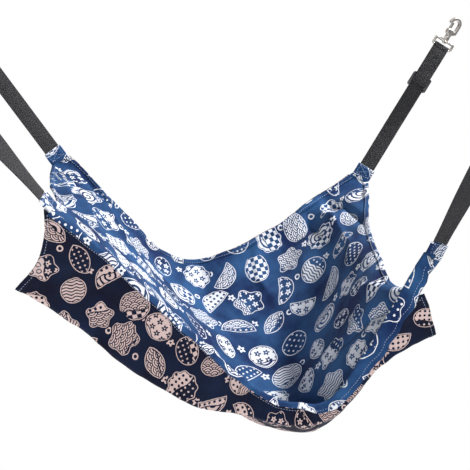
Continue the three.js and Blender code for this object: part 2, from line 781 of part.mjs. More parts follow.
// Small coil on the rivet beside the knuckle
function gateSpring(corner) {
  const start = -gateWidth / 2 + knuckleWidth + springFromKnuckle - pieceGap;
  const coilRadius = rivetRadius + pieceGap * 2 + springWire / 2;
  const steps = Math.round(springTurns * coilSteps);
  const rings = [];
  for (let k = 0; k <= steps; k += 1) {
    const turns = k / coilSteps;
    const angle = turns * 2 * Math.PI;
    const out = new THREE.Vector3(Math.cos(angle), 0, Math.sin(angle));
    const centre = new THREE.Vector3(pivotX, start + turns * springPitch, pivotZ);
    centre.addScaledVector(out, coilRadius);
    rings.push({ centre, out });
  }
  const geometry = coilGeometry(rings, springWire / 2, coilSides);
  return piece(`gate_spring_${corner.name}`, geometry, springFinish);
}

// Unbroken round wire through rings that stand across a coil about Y
function coilGeometry(rings, radius, sides) {
  const positions = [];
  for (const { centre, out } of rings) {
    for (let s = 0; s < sides; s += 1) {
      const angle = (s / sides) * 2 * Math.PI;
      const p = centre.clone().addScaledVector(out, radius * Math.cos(angle));
      p.y += radius * Math.sin(angle);
      positions.push(p.x, p.y, p.z);
    }
  }
  const index = [];
  for (let k = 0; k < rings.length - 1; k += 1) {
    for (let s = 0; s < sides; s += 1) {
      const [a, b] = [k * sides + s, k * sides + ((s + 1) % sides)];
      index.push(a, b + sides, a + sides, a, b, b + sides);
    }
  }
  const last = (rings.length - 1) * sides;
  for (let s = 1; s < sides - 1; s += 1) {
    index.push(0, s + 1, s);
    index.push(last, last + s, last + s + 1);
  }
  const geometry = new THREE.BufferGeometry();
  geometry.setAttribute('position', new THREE.Float32BufferAttribute(positions, 3));
  geometry.setIndex(index);
  return geometry;
}

// Tab of doubled cloth over the sewn end of the strap
function cornerTab(corner) {
  const outline = roundedRectangle(tabThickness, tabWidth, tabThickness / 2 - pieceGap);
  const form = { depth: tabLength, bevelEnabled: false, curveSegments: 3 };
  const geometry = new THREE.ExtrudeGeometry(outline, form);
  geometry.rotateY(-Math.PI / 2);
  return piece(`corner_tab_${corner.name}`, geometry, pocketFinish);
}

function cornerAssembly(corner) {
  const h = hang(corner);
  const assembly = new THREE.Group();
  const sewn = strapGroup(h, corner.seamTurn);
  sewn.add(cornerTab(corner));
  const strap = strapGroup(h, corner.slideTurn);
  strap.add(strapWebbing(corner, h), strapReturn(corner, h), slider(corner, h), swivelEye(corner, h));
  const upright = strapGroup(h, 0);
  const hook = new THREE.Group();
  hook.position.x = eyeBar(h) + eyeDepth + bossLength + pieceGap + collarLength + hookBaseLength;
  hook.add(hookBody(corner), hookGate(corner), gateRivet(corner), gateSpring(corner));
  upright.add(hook);
  assembly.add(sewn, strap, upright);
  return assembly;
}

const hammock = new THREE.Group();
hammock.name = 'cat_hammock';
hammock.add(seatCloth(), pocketCloth());
for (const corner of corners) hammock.add(cornerAssembly(corner));

export default hammock;
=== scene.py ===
# %% [markdown]
# # A hanging bed of printed cloth
#
# The object is a cloth seat with a sleeping pocket under it. It hangs from four short webbing straps,
# each with a slider to set its length and a swivelling snap hook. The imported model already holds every
# piece in its place, in metres, and says how the pieces move. This notebook gives each piece the form
# and finish of the real material.

# %% The fixed frame
import json
import math

import bmesh
import bpy
from mathutils import Matrix, Vector, kdtree, noise

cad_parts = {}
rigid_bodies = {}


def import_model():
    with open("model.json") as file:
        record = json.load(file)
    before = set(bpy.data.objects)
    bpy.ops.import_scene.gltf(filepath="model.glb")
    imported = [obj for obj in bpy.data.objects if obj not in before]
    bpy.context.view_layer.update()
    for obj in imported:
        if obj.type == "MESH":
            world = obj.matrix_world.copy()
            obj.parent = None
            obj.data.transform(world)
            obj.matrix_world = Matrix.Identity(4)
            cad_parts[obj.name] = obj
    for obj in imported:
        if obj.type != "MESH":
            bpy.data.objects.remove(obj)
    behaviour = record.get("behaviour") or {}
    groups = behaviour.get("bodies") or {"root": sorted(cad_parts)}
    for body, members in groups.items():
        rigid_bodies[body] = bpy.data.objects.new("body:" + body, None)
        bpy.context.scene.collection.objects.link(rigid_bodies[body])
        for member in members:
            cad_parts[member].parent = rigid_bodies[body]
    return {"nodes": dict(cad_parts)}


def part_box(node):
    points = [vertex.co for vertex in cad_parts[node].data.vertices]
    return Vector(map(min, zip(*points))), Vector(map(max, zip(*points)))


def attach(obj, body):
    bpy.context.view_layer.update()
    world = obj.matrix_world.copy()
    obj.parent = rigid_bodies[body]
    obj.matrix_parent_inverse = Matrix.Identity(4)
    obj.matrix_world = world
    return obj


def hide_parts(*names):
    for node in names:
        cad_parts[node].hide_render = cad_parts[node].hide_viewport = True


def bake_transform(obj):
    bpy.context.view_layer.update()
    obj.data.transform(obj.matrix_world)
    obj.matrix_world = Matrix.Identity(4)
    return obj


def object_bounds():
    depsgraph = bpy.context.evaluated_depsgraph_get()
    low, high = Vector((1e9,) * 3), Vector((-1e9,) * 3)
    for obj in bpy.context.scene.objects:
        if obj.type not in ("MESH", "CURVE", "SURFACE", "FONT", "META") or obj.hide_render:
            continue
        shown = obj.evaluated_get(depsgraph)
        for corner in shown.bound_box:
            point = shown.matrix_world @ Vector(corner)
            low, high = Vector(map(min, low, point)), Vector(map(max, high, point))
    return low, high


for left_over in list(bpy.data.objects):
    bpy.data.objects.remove(left_over)
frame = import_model()
cad_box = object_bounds()
nodes = frame["nodes"]
scene = bpy.context.scene
CORNERS = ("front_left", "front_right", "back_left", "back_right")
MM = 0.001

# %% [markdown]
# ## Camera
#
# A photograph fixes a camera by where it stands, where it looks, how far it is rolled and how wide it
# sees. The seat's four strap seams make a rectangle, and that rectangle in the picture gave all four.
# The bed itself hangs level, so the roll is the camera's.

# %% Camera
LOOK_AT = Vector((0.09199, 0, -0.32993))
DISTANCE = 1.66186
AZIMUTH, ELEVATION, ROLL = (math.radians(angle) for angle in (-8.56, 13.3, 7.04))
VIEW_ANGLE = math.radians(23)

forward = Vector((
    -math.sin(AZIMUTH) * math.cos(ELEVATION),
    math.cos(AZIMUTH) * math.cos(ELEVATION),
    -math.sin(ELEVATION),
))
level_right = forward.cross(Vector((0, 0, 1))).normalized()
level_up = level_right.cross(forward)
right = level_right * math.cos(ROLL) + level_up * math.sin(ROLL)
up = right.cross(forward)
turned = Matrix((right, up, -forward)).transposed().to_4x4()
camera = bpy.data.objects.new("camera", bpy.data.cameras.new("camera"))
camera.data.angle = VIEW_ANGLE
camera.matrix_world = Matrix.Translation(LOOK_AT - forward * DISTANCE) @ turned
scene.collection.objects.link(camera)
scene.camera = camera
scene.view_settings.view_transform = "Standard"
print("camera at", [round(x, 3) for x in camera.location])

# %% [markdown]
# ## Node trees in plain arithmetic
#
# A printed pattern is a long sum of small steps: floor, fraction, distance, compare. Written node by
# node it can't be read. This small class stands for one wire of a node tree, and arithmetic on it adds
# the Math nodes.

# %% One wire of a node tree
def new_node(tree, kind, **settings):
    node = tree.nodes.new(kind)
    for name, value in settings.items():
        setattr(node, name, value)
    return node


def feed(tree, value, into):
    if isinstance(value, Wire):
        tree.links.new(value.socket, into)
    else:
        into.default_value = value


class Wire:
    def __init__(self, tree, socket):
        self.tree, self.socket = tree, socket

    def math(self, operation, *others, first=None):
        node = new_node(self.tree, "ShaderNodeMath", operation=operation)
        values = (self, *others) if first is None else (first, self)
        for into, value in zip(node.inputs, values):
            feed(self.tree, value, into)
        return Wire(self.tree, node.outputs[0])

    def __add__(self, other):
        return self.math("ADD", other)

    def __sub__(self, other):
        return self.math("SUBTRACT", other)

    def __rsub__(self, other):
        return self.math("SUBTRACT", first=other)

    def __mul__(self, other):
        return self.math("MULTIPLY", other)

    def __truediv__(self, other):
        return self.math("DIVIDE", other)

    def floor(self):
        return self.math("FLOOR")

    def fraction(self):
        return self.math("FRACT")

    def below(self, limit):
        return self.math("LESS_THAN", limit)

    def above(self, limit):
        return self.math("GREATER_THAN", limit)

    def same(self, number):
        """1 where the value is within a half of this whole number."""
        return self.math("COMPARE", number, 0.5)

    def size(self):
        return self.math("ABSOLUTE")


# %% Masks and choices
def length_of(x, y):
    return (x * x + y * y).math("SQRT")


def chequered(x, y):
    """0 and 1 by turns, from one unit square to the next."""
    return (x.floor() + y.floor()).math("FLOORED_MODULO", 2.0)


def either(*masks):
    found = masks[0]
    for mask in masks[1:]:
        found = found.math("MAXIMUM", mask)
    return found


def choose(choice, options):
    """The option whose number the choice is."""
    total = options[0] * choice.same(0)
    for number, option in enumerate(options[1:], 1):
        total = total + option * choice.same(number)
    return total


# %% Groups, coordinates and noise
NUMBER, ARROW = "NodeSocketFloat", "NodeSocketVector"


def group_of(name, inputs, outputs):
    tree = bpy.data.node_groups.new(name, "ShaderNodeTree")
    for label, kind in inputs.items():
        tree.interface.new_socket(label, in_out="INPUT", socket_type=kind)
    for label, kind in outputs.items():
        tree.interface.new_socket(label, in_out="OUTPUT", socket_type=kind)
    entry = tree.nodes.new("NodeGroupInput")
    leave = tree.nodes.new("NodeGroupOutput")
    return tree, {label: Wire(tree, entry.outputs[label]) for label in inputs}, leave


def split(tree, vector):
    node = tree.nodes.new("ShaderNodeSeparateXYZ")
    feed(tree, vector, node.inputs[0])
    return [Wire(tree, out) for out in node.outputs]


def join(tree, x, y, z=0.0):
    node = tree.nodes.new("ShaderNodeCombineXYZ")
    for into, value in zip(node.inputs, (x, y, z)):
        feed(tree, value, into)
    return Wire(tree, node.outputs[0])


def dice(tree, x, y, seed):
    """Three random numbers from 0 to 1 that belong to one cell of the print."""
    node = new_node(tree, "ShaderNodeTexWhiteNoise", noise_dimensions="3D")
    feed(tree, join(tree, x, y, seed), node.inputs["Vector"])
    return split(tree, Wire(tree, node.outputs["Color"]))


def cloudy(tree, vector, scale, detail=2.0):
    node = new_node(tree, "ShaderNodeTexNoise", noise_dimensions="3D")
    feed(tree, vector, node.inputs["Vector"])
    feed(tree, scale, node.inputs["Scale"])
    node.inputs["Detail"].default_value = detail
    return Wire(tree, node.outputs["Fac"])


# %% [markdown]
# ## Woven threads
#
# Cloth and webbing are both woven, only at different scales. One group draws warp and weft threads
# that pass over and under each other: each thread is a rounded ridge, and the one on top changes from
# cell to cell. The webbing's rows lean one way and then the other, as in a herringbone.

# %% Weave group
HERRINGBONE_ROWS = 3.0
FIBRE_SCALE = 700.0
RELIEF_OF_THREADS, RELIEF_OF_FIBRES = 0.8, 0.4
SHADE_OF_THREADS, SHADE_OF_FIBRES, LEAST_SHADE = 0.35, 0.5, 0.4


def weave_group():
    tree, given, leave = group_of(
        "woven threads",
        {"Vector": ARROW, "Thread": NUMBER, "Lean": NUMBER},
        {"Height": NUMBER, "Shade": NUMBER},
    )
    u, v, _ = split(tree, given["Vector"])
    along, over = u / given["Thread"], v / given["Thread"]
    leaning = over.math("PINGPONG", HERRINGBONE_ROWS) * given["Lean"]
    phase = along + leaning
    warp = (phase * math.pi).math("SINE").size()
    weft = (over * math.pi).math("SINE").size()
    turn = chequered(phase, over)
    height = warp * turn + weft * (1 - turn)
    cloud = cloudy(tree, given["Vector"], FIBRE_SCALE)
    relief = height * RELIEF_OF_THREADS + cloud * RELIEF_OF_FIBRES
    shade = height * SHADE_OF_THREADS + cloud * SHADE_OF_FIBRES + LEAST_SHADE
    feed(tree, relief, leave.inputs["Height"])
    feed(tree, shade, leave.inputs["Shade"])
    return tree


weave = weave_group()
print(len(weave.nodes), "nodes draw the weave")

# %% [markdown]
# ## The print
#
# The cloth is block printed all over: pale round, oval, leaf, fan and flower shapes in staggered rows,
# each filled with a traditional pattern such as checks, dots, small rings, a spiral or overlapping
# waves, and small flowers between them. Here every cell of a staggered grid rolls its own dice for
# shape, size, turn and filling, so no two neighbours match and nothing is drawn by hand. Every size
# below is a share of one cell, so the same print can be drawn larger or smaller.

# %% Outlines of the figures
REACH_FROM, REACH_SPREAD = 0.335, 0.08
PETALS, PETAL_DEPTH, PETAL_REACH = 5, 0.13, 0.97
SCALLOPS, SCALLOP_DEPTH = 9, 0.05
OVAL_SQUEEZE, OVAL_REACH = 1.32, 1.12
LEAF_BEND, LEAF_REACH = 0.62, 1.3
FAN_DROP, FAN_REACH, FAN_CUT = 0.14, 1.15, 0.16


def lobed(around, lobes, depth, reach):
    """A radius that goes in and out as it turns, as petals do."""
    return (around * lobes).math("COSINE") * depth + reach


def outline_of(x, y, around, distance, pick, reach):
    """How far a place is outside a round, oval, flower, scalloped, leaf or fan figure."""
    bend = reach * LEAF_BEND
    figures = [
        distance - reach,
        length_of(x, y * OVAL_SQUEEZE) - reach * OVAL_REACH,
        distance - reach * lobed(around, PETALS, PETAL_DEPTH, PETAL_REACH),
        distance - reach * lobed(around, SCALLOPS, SCALLOP_DEPTH, 1),
        either(length_of(x, y - bend), length_of(x, y + bend)) - reach * LEAF_REACH,
        either(length_of(x, y + FAN_DROP) - reach * FAN_REACH, y * -1 - FAN_CUT),
    ]
    return choose((pick * len(figures)).floor(), figures)


# %% Fillings
CHECK, DOT, FLORET, RING = 0.12, 0.14, 0.24, 0.2
SPIRAL, WAVE, STRIPE = 0.13, 0.18, 0.085
DARK_DOT, PALE_DOT = 0.27, 0.2
FLORET_DEPTH, FLORET_REACH, FLORET_EYE = 0.1, 0.3, 0.09
RING_REACH, RING_LINE = 0.3, 0.07
RINGS_IN_WAVE = 3
LINE_SHARE, WAVE_LINE_SHARE = 0.6, 0.58
RIPPLE, RIPPLE_WAVES = 0.02, 24


def tiled(x, y, pitch):
    """Both coordinates, counted afresh from the middle of each small square."""
    return (x / pitch).fraction() - 0.5, (y / pitch).fraction() - 0.5


def wave_scales(x, y):
    """Distance from the middle of the front one of the overlapping round scales."""
    lowest = ((y - 1) * 2).math("CEIL")
    nearest = None
    for step in (3, 2, 1, 0):
        row = lowest + float(step)
        sideways = x / 2 + row * 0.5
        distance = length_of((sideways.fraction() - 0.5) * 2, y - row * 0.5)
        inside = distance.below(1.0)
        nearest = distance if nearest is None else distance * inside + nearest * (1 - inside)
    return nearest


def fillings_of(x, y, around, distance):
    """Checks, small flowers, two kinds of dots, waves, flowers inside out, spiral, stripes, rings."""
    dot = length_of(*tiled(x, y, DOT))
    ring = length_of(*tiled(x, y, RING))
    floret_x, floret_y = tiled(x, y, FLORET)
    floret = length_of(floret_x, floret_y)
    floret_edge = lobed(floret_y.math("ARCTAN2", floret_x), PETALS, FLORET_DEPTH, FLORET_REACH)
    florets = either(floret.above(floret_edge), floret.below(FLORET_EYE))
    ripple = (x * RIPPLE_WAVES).math("SINE") * RIPPLE
    return [
        chequered(x / CHECK, y / CHECK),
        florets,
        dot.above(DARK_DOT),
        dot.below(PALE_DOT),
        (wave_scales(x / WAVE, y / WAVE) * RINGS_IN_WAVE).fraction().below(WAVE_LINE_SHARE),
        1 - florets,
        (around / math.tau + distance / SPIRAL).fraction().below(LINE_SHARE),
        ((y + ripple) / STRIPE).fraction().below(LINE_SHARE),
        (ring - RING_REACH).size().above(RING_LINE),
    ]


# %% Small flowers between the figures
ROW_PITCH = 0.88
SPRIG_SHIFT, SPRIG_JITTER = 0.15, 0.05
SPRIG_REACH, SPRIG_EYE = 0.115, 0.03
SPRIG_DEPTH, SPRIG_WAIST = 0.22, 0.78
RINGLET_REACH, RINGLET_LINE = 0.065, 0.02


def sprigs_between(tree, x, y, seed):
    """Small flowers, ringlets and gaps, in staggered rows of their own."""
    y = y - SPRIG_SHIFT
    row = y.floor()
    x = x + row * 0.5 + 0.5
    one, two, three = dice(tree, x.floor(), row, seed)
    near_x = x.fraction() - 0.5 + (one - 0.5) * SPRIG_JITTER
    near_y = (y.fraction() - 0.5) * ROW_PITCH + (two - 0.5) * SPRIG_JITTER
    distance = length_of(near_x, near_y)
    around = near_y.math("ARCTAN2", near_x) + three * math.tau
    petals = lobed(around, PETALS, SPRIG_DEPTH, SPRIG_WAIST) * SPRIG_REACH
    flower = distance.below(petals) * distance.above(SPRIG_EYE)
    ringlet = (distance - RINGLET_REACH).size().below(RINGLET_LINE)
    kinds = [flower, ringlet, flower * 0]
    return choose((three * len(kinds)).floor(), kinds)


# %% Print group
WOBBLE, WOBBLE_SCALE = 0.03, 160.0
JITTER = 0.16
SECOND_ROLL, SPRIG_ROLL = 17.3, 41.7
RIM_INSIDE, RIM_GAP, SPRIG_GAP = 0.022, 0.04, 0.045
PARTING_SWAY, PARTING_WAVES, PARTING_SPREAD, PARTING_LINE = 0.03, 9, 0.7, 0.015
LOWER_FILLINGS = 7


def print_group():
    tree, given, leave = group_of(
        "block print", {"Vector": ARROW, "Cell": NUMBER, "Seed": NUMBER}, {"Ink": NUMBER}
    )
    u, v, _ = split(tree, given["Vector"])
    wobble = cloudy(tree, given["Vector"], WOBBLE_SCALE) - 0.5
    x = u / given["Cell"] + wobble * WOBBLE
    y = v / given["Cell"] / ROW_PITCH + wobble * WOBBLE

    row = y.floor()
    staggered = x + row * 0.5
    column = staggered.floor()
    one, two, three = dice(tree, column, row, given["Seed"])
    four, five, six = dice(tree, column, row, given["Seed"] + SECOND_ROLL)
    local_x = staggered.fraction() - 0.5 + (one - 0.5) * JITTER
    local_y = (y.fraction() - 0.5) * ROW_PITCH + (two - 0.5) * JITTER
    angle = three * math.tau
    cosine, sine = angle.math("COSINE"), angle.math("SINE")
    px = local_x * cosine + local_y * sine
    py = local_y * cosine - local_x * sine
    around, distance = py.math("ARCTAN2", px), length_of(px, py)

    edge = outline_of(px, py, around, distance, four, five * REACH_SPREAD + REACH_FROM)
    fillings = fillings_of(px, py, around, distance)
    parting = (px * PARTING_WAVES).math("SINE") * PARTING_SWAY + (one - 0.5) * PARTING_SPREAD
    above = py.above(parting)
    upper = choose((six * len(fillings)).floor(), fillings)
    lower = choose((two * LOWER_FILLINGS).floor(), fillings[:LOWER_FILLINGS])
    both = (upper * above + lower * (1 - above)) * (py - parting).size().above(PARTING_LINE)
    figure = either(edge.below(0.0) * edge.above(-RIM_INSIDE), edge.below(-RIM_GAP) * both)
    sprigs = sprigs_between(tree, x, y, given["Seed"] + SPRIG_ROLL) * edge.above(SPRIG_GAP)
    feed(tree, either(figure, sprigs), leave.inputs["Ink"])
    return tree


block_print = print_group()
print(len(block_print.nodes), "nodes draw the print")

# %% [markdown]
# ## Handling marks
#
# Metal and moulded plastic never reflect evenly: fingers leave soft clouds, and use leaves fine
# scratches. One group gives a mask of clouds and a mask of scratches, and each finish decides how
# much of them it shows.

# %% Wear group
SCRATCH_STRETCH, SCRATCH_FINENESS, SCRATCH_WIDTH = 9, 2.5, 0.012


def wear_group():
    tree, given, leave = group_of(
        "handling marks",
        {"Vector": ARROW, "Scale": NUMBER},
        {"Clouds": NUMBER, "Scratches": NUMBER},
    )
    clouds = cloudy(tree, given["Vector"], given["Scale"], detail=4.0)
    x, y, z = split(tree, given["Vector"])
    stretched = join(tree, x * SCRATCH_STRETCH, y, z * SCRATCH_STRETCH)
    lines = cloudy(tree, stretched, given["Scale"] * SCRATCH_FINENESS, detail=6.0)
    feed(tree, clouds, leave.inputs["Clouds"])
    feed(tree, (lines - 0.5).size().below(SCRATCH_WIDTH), leave.inputs["Scratches"])
    return tree


wear = wear_group()
print(len(wear.nodes), "nodes draw the handling marks")

# %% [markdown]
# ## Finishes
#
# The cloth is one print in two lights, painted into two copies: the seat's is a mid blue with white
# figures, painted light, and the pocket's reads as navy with warm pale figures, painted shade. Cotton
# scatters light, so it is rough, with a little sheen from its nap. The webbing is near black and
# coarser.

# %% Helpers for a finish
def colour(red, green, blue):
    """Colour as a colour picker shows it, in 0 to 255, made linear."""
    shares = (red / 255, green / 255, blue / 255)
    linear = [c / 12.92 if c <= 0.04045 else ((c + 0.055) / 1.055) ** 2.4 for c in shares]
    return (*linear, 1)


def material_of(name):
    material = bpy.data.materials.new(name)
    material.use_nodes = True
    tree = material.node_tree
    shader = tree.nodes["Principled BSDF"]
    return material, tree, shader


def placed(tree, group, **values):
    node = new_node(tree, "ShaderNodeGroup", node_tree=group)
    for label, value in values.items():
        feed(tree, value, node.inputs[label])
    return {out.name: Wire(tree, out) for out in node.outputs}


def mixed(tree, share, first, second):
    node = new_node(tree, "ShaderNodeMix", data_type="RGBA")
    ports = {port.identifier: port for port in node.inputs}
    feed(tree, share, ports["Factor_Float"])
    feed(tree, first, ports["A_Color"])
    feed(tree, second, ports["B_Color"])
    return Wire(tree, next(o for o in node.outputs if o.identifier == "Result_Color"))


def bumped(tree, shader, height, depth):
    node = new_node(tree, "ShaderNodeBump")
    node.inputs["Distance"].default_value = depth
    feed(tree, height, node.inputs["Height"])
    tree.links.new(node.outputs["Normal"], shader.inputs["Normal"])


def coordinates(tree, output):
    node = new_node(tree, "ShaderNodeTexCoord")
    return Wire(tree, node.outputs[output])


# %% Cloth and webbing
SEAT_CELL, POCKET_CELL = 58 * MM, 48 * MM
SEAT_SEED, POCKET_SEED = 3.0, 8.0
COTTON_THREAD, COTTON_RELIEF = 0.45 * MM, 0.25 * MM
MOTTLE_SCALE, WORN_SCALE, FUZZ_SCALE = 16.0, 900.0, 60.0
MOTTLE_CONTRAST, THREADS_SHOW = 3.2, 0.12
INK_FROM, INK_SPREAD = 0.84, 0.3
COTTON_ROUGHNESS, COTTON_UNEVEN = 0.74, 0.16
WEB_THREAD, WEB_RELIEF = 2.1 * MM, 0.9 * MM
DUST_SCALE, SPECKLE_SCALE = 35.0, 420.0
WEB_CROWN_LIGHT, WEB_SPECKLE, WEB_DUST, WEB_DARKNESS = 1.5, 0.5, 0.3, 1.1
WEB_ROUGHNESS, WEB_UNEVEN, SPECKLE_RELIEF = 0.62, 0.2, 0.6


def printed_cloth(name, ground, shadow, ink, cell, seed):
    material, tree, shader = material_of(name)
    flat = coordinates(tree, "UV")
    drawn = placed(tree, block_print, Vector=flat, Cell=cell, Seed=seed)
    threads = placed(tree, weave, Vector=flat, Thread=COTTON_THREAD, Lean=0.0)
    mottle = cloudy(tree, flat, MOTTLE_SCALE, detail=4.0)
    # Random patches are pulled towards the shadow colour: partly uneven dye, partly painted shade that
    # stands in for dark hollows in the folds.
    mottled_dye_and_shade = mixed(tree, (mottle - 0.5) * MOTTLE_CONTRAST + 0.5, shadow, ground)
    worn = cloudy(tree, flat, WORN_SCALE, detail=3.0)
    cover = drawn["Ink"] * (worn * INK_SPREAD + INK_FROM).math("MINIMUM", 1.0)
    painted = mixed(tree, cover, mottled_dye_and_shade, ink)
    shaded = mixed(tree, threads["Shade"] * THREADS_SHOW, painted, shadow)
    feed(tree, shaded, shader.inputs["Base Color"])
    feed(tree, mottle * COTTON_UNEVEN + COTTON_ROUGHNESS, shader.inputs["Roughness"])
    shader.inputs["Sheen Weight"].default_value = 0.04
    shader.inputs["Sheen Roughness"].default_value = 0.5
    shader.inputs["Specular IOR Level"].default_value = 0.12
    fuzz = cloudy(tree, flat, FUZZ_SCALE, detail=3.0)
    bumped(tree, shader, threads["Height"] + fuzz * 2, COTTON_RELIEF)
    return material


def woven_strap(name, dark, light):
    material, tree, shader = material_of(name)
    flat = coordinates(tree, "UV")
    threads = placed(tree, weave, Vector=flat, Thread=WEB_THREAD, Lean=0.5)
    dust = cloudy(tree, flat, DUST_SCALE, detail=4.0)
    speckle = cloudy(tree, flat, SPECKLE_SCALE, detail=3.0)
    # Thread crowns are painted lighter and the gaps between them darker, as light falls on the weave:
    # painted light and shade. Speckle and dust vary the tone at random.
    share = threads["Height"] * WEB_CROWN_LIGHT + speckle * WEB_SPECKLE + dust * WEB_DUST - WEB_DARKNESS
    feed(tree, mixed(tree, share, dark, light), shader.inputs["Base Color"])
    feed(tree, dust * WEB_UNEVEN + WEB_ROUGHNESS, shader.inputs["Roughness"])
    shader.inputs["Specular IOR Level"].default_value = 0.22
    bumped(tree, shader, threads["Height"] + speckle * SPECKLE_RELIEF, WEB_RELIEF)
    return material


# One print in two copies: the seat's colours are painted light, and the pocket's darker ground and warm
# figures are painted shade.
print_painted_lit = printed_cloth(
    "printed cotton, painted lit",
    ground=colour(46, 88, 136),
    shadow=colour(12, 34, 78),
    ink=colour(240, 242, 247),
    cell=SEAT_CELL,
    seed=SEAT_SEED,
)
print_painted_shaded = printed_cloth(
    "printed cotton, painted shade",
    ground=colour(12, 28, 56),
    shadow=colour(6, 8, 30),
    ink=colour(214, 190, 186),
    cell=POCKET_CELL,
    seed=POCKET_SEED,
)
black_webbing = woven_strap("black webbing", dark=colour(10, 10, 12), light=colour(74, 74, 78))
print("woven:", [material.name for material in (print_painted_lit, print_painted_shaded, black_webbing)])

# %% Plastic, metal and thread
GRAIN_SCALE, HARD_RELIEF = 2600.0, 0.04 * MM
CLOUDS_DULL, SCRATCHES_DULL, SCRATCH_DEPTH = 0.12, 0.15, 0.3
TWIST_SCALE, TWIST_RELIEF = 1800.0, 0.15 * MM
THREAD_ROUGHNESS, THREAD_UNEVEN = 0.5, 0.3


def hard_finish(name, base, tint, rough, metallic, scale, grain=0.0):
    material, tree, shader = material_of(name)
    solid = coordinates(tree, "Object")
    marks = placed(tree, wear, Vector=solid, Scale=scale)
    feed(tree, mixed(tree, marks["Clouds"], base, tint), shader.inputs["Base Color"])
    dulled = marks["Clouds"] * CLOUDS_DULL + marks["Scratches"] * SCRATCHES_DULL + rough
    feed(tree, dulled, shader.inputs["Roughness"])
    shader.inputs["Metallic"].default_value = metallic
    fine = cloudy(tree, solid, GRAIN_SCALE)
    relief = marks["Clouds"] + fine * grain - marks["Scratches"] * SCRATCH_DEPTH
    bumped(tree, shader, relief, HARD_RELIEF)
    return material


def sewing_thread(name, light, dark):
    material, tree, shader = material_of(name)
    solid = coordinates(tree, "Object")
    twist = cloudy(tree, solid, TWIST_SCALE, detail=3.0)
    feed(tree, mixed(tree, twist, dark, light), shader.inputs["Base Color"])
    feed(tree, twist * THREAD_UNEVEN + THREAD_ROUGHNESS, shader.inputs["Roughness"])
    bumped(tree, shader, twist, TWIST_RELIEF)
    return material


moulded = hard_finish(
    "satin moulded plastic", colour(30, 31, 34), colour(46, 47, 50),
    rough=0.34, metallic=0, scale=90.0, grain=1.4,
)
nickel = hard_finish(
    "nickel plate", colour(208, 202, 196), colour(190, 184, 178), rough=0.14, metallic=1, scale=140.0
)
spring_steel = hard_finish(
    "spring steel", colour(176, 178, 182), colour(140, 142, 148), rough=0.26, metallic=1, scale=300.0
)
pale_thread = sewing_thread(
    "pale sewing thread", light=colour(196, 204, 220), dark=colour(128, 142, 176)
)
print("hard:", [material.name for material in (moulded, nickel, spring_steel, pale_thread)])

# %% [markdown]
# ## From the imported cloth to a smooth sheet
#
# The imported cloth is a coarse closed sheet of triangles. Its upper face holds the form, so that face
# alone is kept: the triangles go back to the squares that they came from, a subdivision surface rounds
# them, and a Solidify modifier gives the thickness back. Squares matter because a subdivision surface
# ripples over triangles.

# %% Helpers for a mesh
MERGE = 1e-6


def opened(piece):
    """A bmesh of the piece, to work on."""
    mesh = bmesh.new()
    mesh.from_mesh(piece.data)
    return mesh


def put_back(mesh, piece):
    """The bmesh becomes the piece's own mesh, shaded smooth."""
    mesh.to_mesh(piece.data)
    mesh.free()
    for face in piece.data.polygons:
        face.use_smooth = True


def merged_copy(node):
    mesh = opened(nodes[node])
    bmesh.ops.remove_doubles(mesh, verts=mesh.verts, dist=MERGE)
    return mesh


def shown(name, mesh, material):
    """An object of this mesh, at the origin."""
    piece = bpy.data.objects.new(name, bpy.data.meshes.new(name))
    put_back(mesh, piece)
    piece.data.materials.append(material)
    scene.collection.objects.link(piece)
    return piece


def only(piece):
    for other in bpy.context.selected_objects:
        other.select_set(False)
    piece.select_set(True)
    bpy.context.view_layer.objects.active = piece


def apply_modifiers(piece):
    only(piece)
    for modifier in list(piece.modifiers):
        bpy.ops.object.modifier_apply(modifier=modifier.name)


# %% Upper face as squares
RUNG = 1.7 * MM


def islands_of(mesh):
    """The faces of a mesh in lists, one for each part that hangs together."""
    left, islands = set(mesh.faces), []
    while left:
        island = [left.pop()]
        for face in island:
            near = {other for edge in face.edges for other in edge.link_faces} & left
            left -= near
            island.extend(near)
        islands.append(island)
    return islands


def upper_face(node):
    mesh = merged_copy(node)
    rungs = [edge for edge in mesh.edges if edge.calc_length() < RUNG]
    rim = list({face for edge in rungs for face in edge.link_faces})
    bmesh.ops.delete(mesh, geom=rim, context="FACES")

    def upward(island):
        return sum(face.normal.z * face.calc_area() for face in island)

    bmesh.ops.delete(mesh, geom=min(islands_of(mesh), key=upward), context="FACES")
    return mesh


def back_to_squares(mesh):
    """Every triangle of a regular grid shares its diagonal with one neighbour; find them all."""
    corner = next(vert for vert in mesh.verts if len(vert.link_edges) == 2)
    first = corner.link_faces[0]
    diagonals = {first: next(edge for edge in first.edges if corner not in edge.verts)}
    queue = [first]
    for face in queue:
        diagonal = diagonals[face]
        for edge in face.edges:
            for other in edge.link_faces:
                if other in diagonals:
                    continue
                if edge == diagonal:
                    diagonals[other] = edge
                else:
                    touched = next(vert for vert in edge.verts if vert in diagonal.verts)
                    far = edge.other_vert(touched)
                    diagonals[other] = next(e for e in other.edges if e != edge and far in e.verts)
                queue.append(other)
    mesh.edges.index_update()
    shared = sorted(set(diagonals.values()), key=lambda edge: edge.index)
    bmesh.ops.dissolve_edges(mesh, edges=shared, use_verts=False)


for cloth in ("seat_cloth", "pocket_cloth"):
    print(cloth, "is packed as", len(nodes[cloth].data.polygons), "triangles")

# %% [markdown]
# ## Laying the cloth out flat
#
# A print follows the cloth, so the pattern needs flat coordinates. Unwrapping lays the curved sheet
# out with little stretch. The map is then scaled to metres, so that a motif has its real size, and
# turned until the front rim runs level.

# %% Flat coordinates in metres
def flat_area(mesh, layer):
    """Area of the layout, by the corner rule for the area of a polygon."""
    total = 0
    for face in mesh.faces:
        spots = [loop[layer].uv for loop in face.loops]
        pairs = zip(spots, spots[1:] + spots[:1])
        total += abs(sum(a.x * b.y - b.x * a.y for a, b in pairs)) / 2
    return total


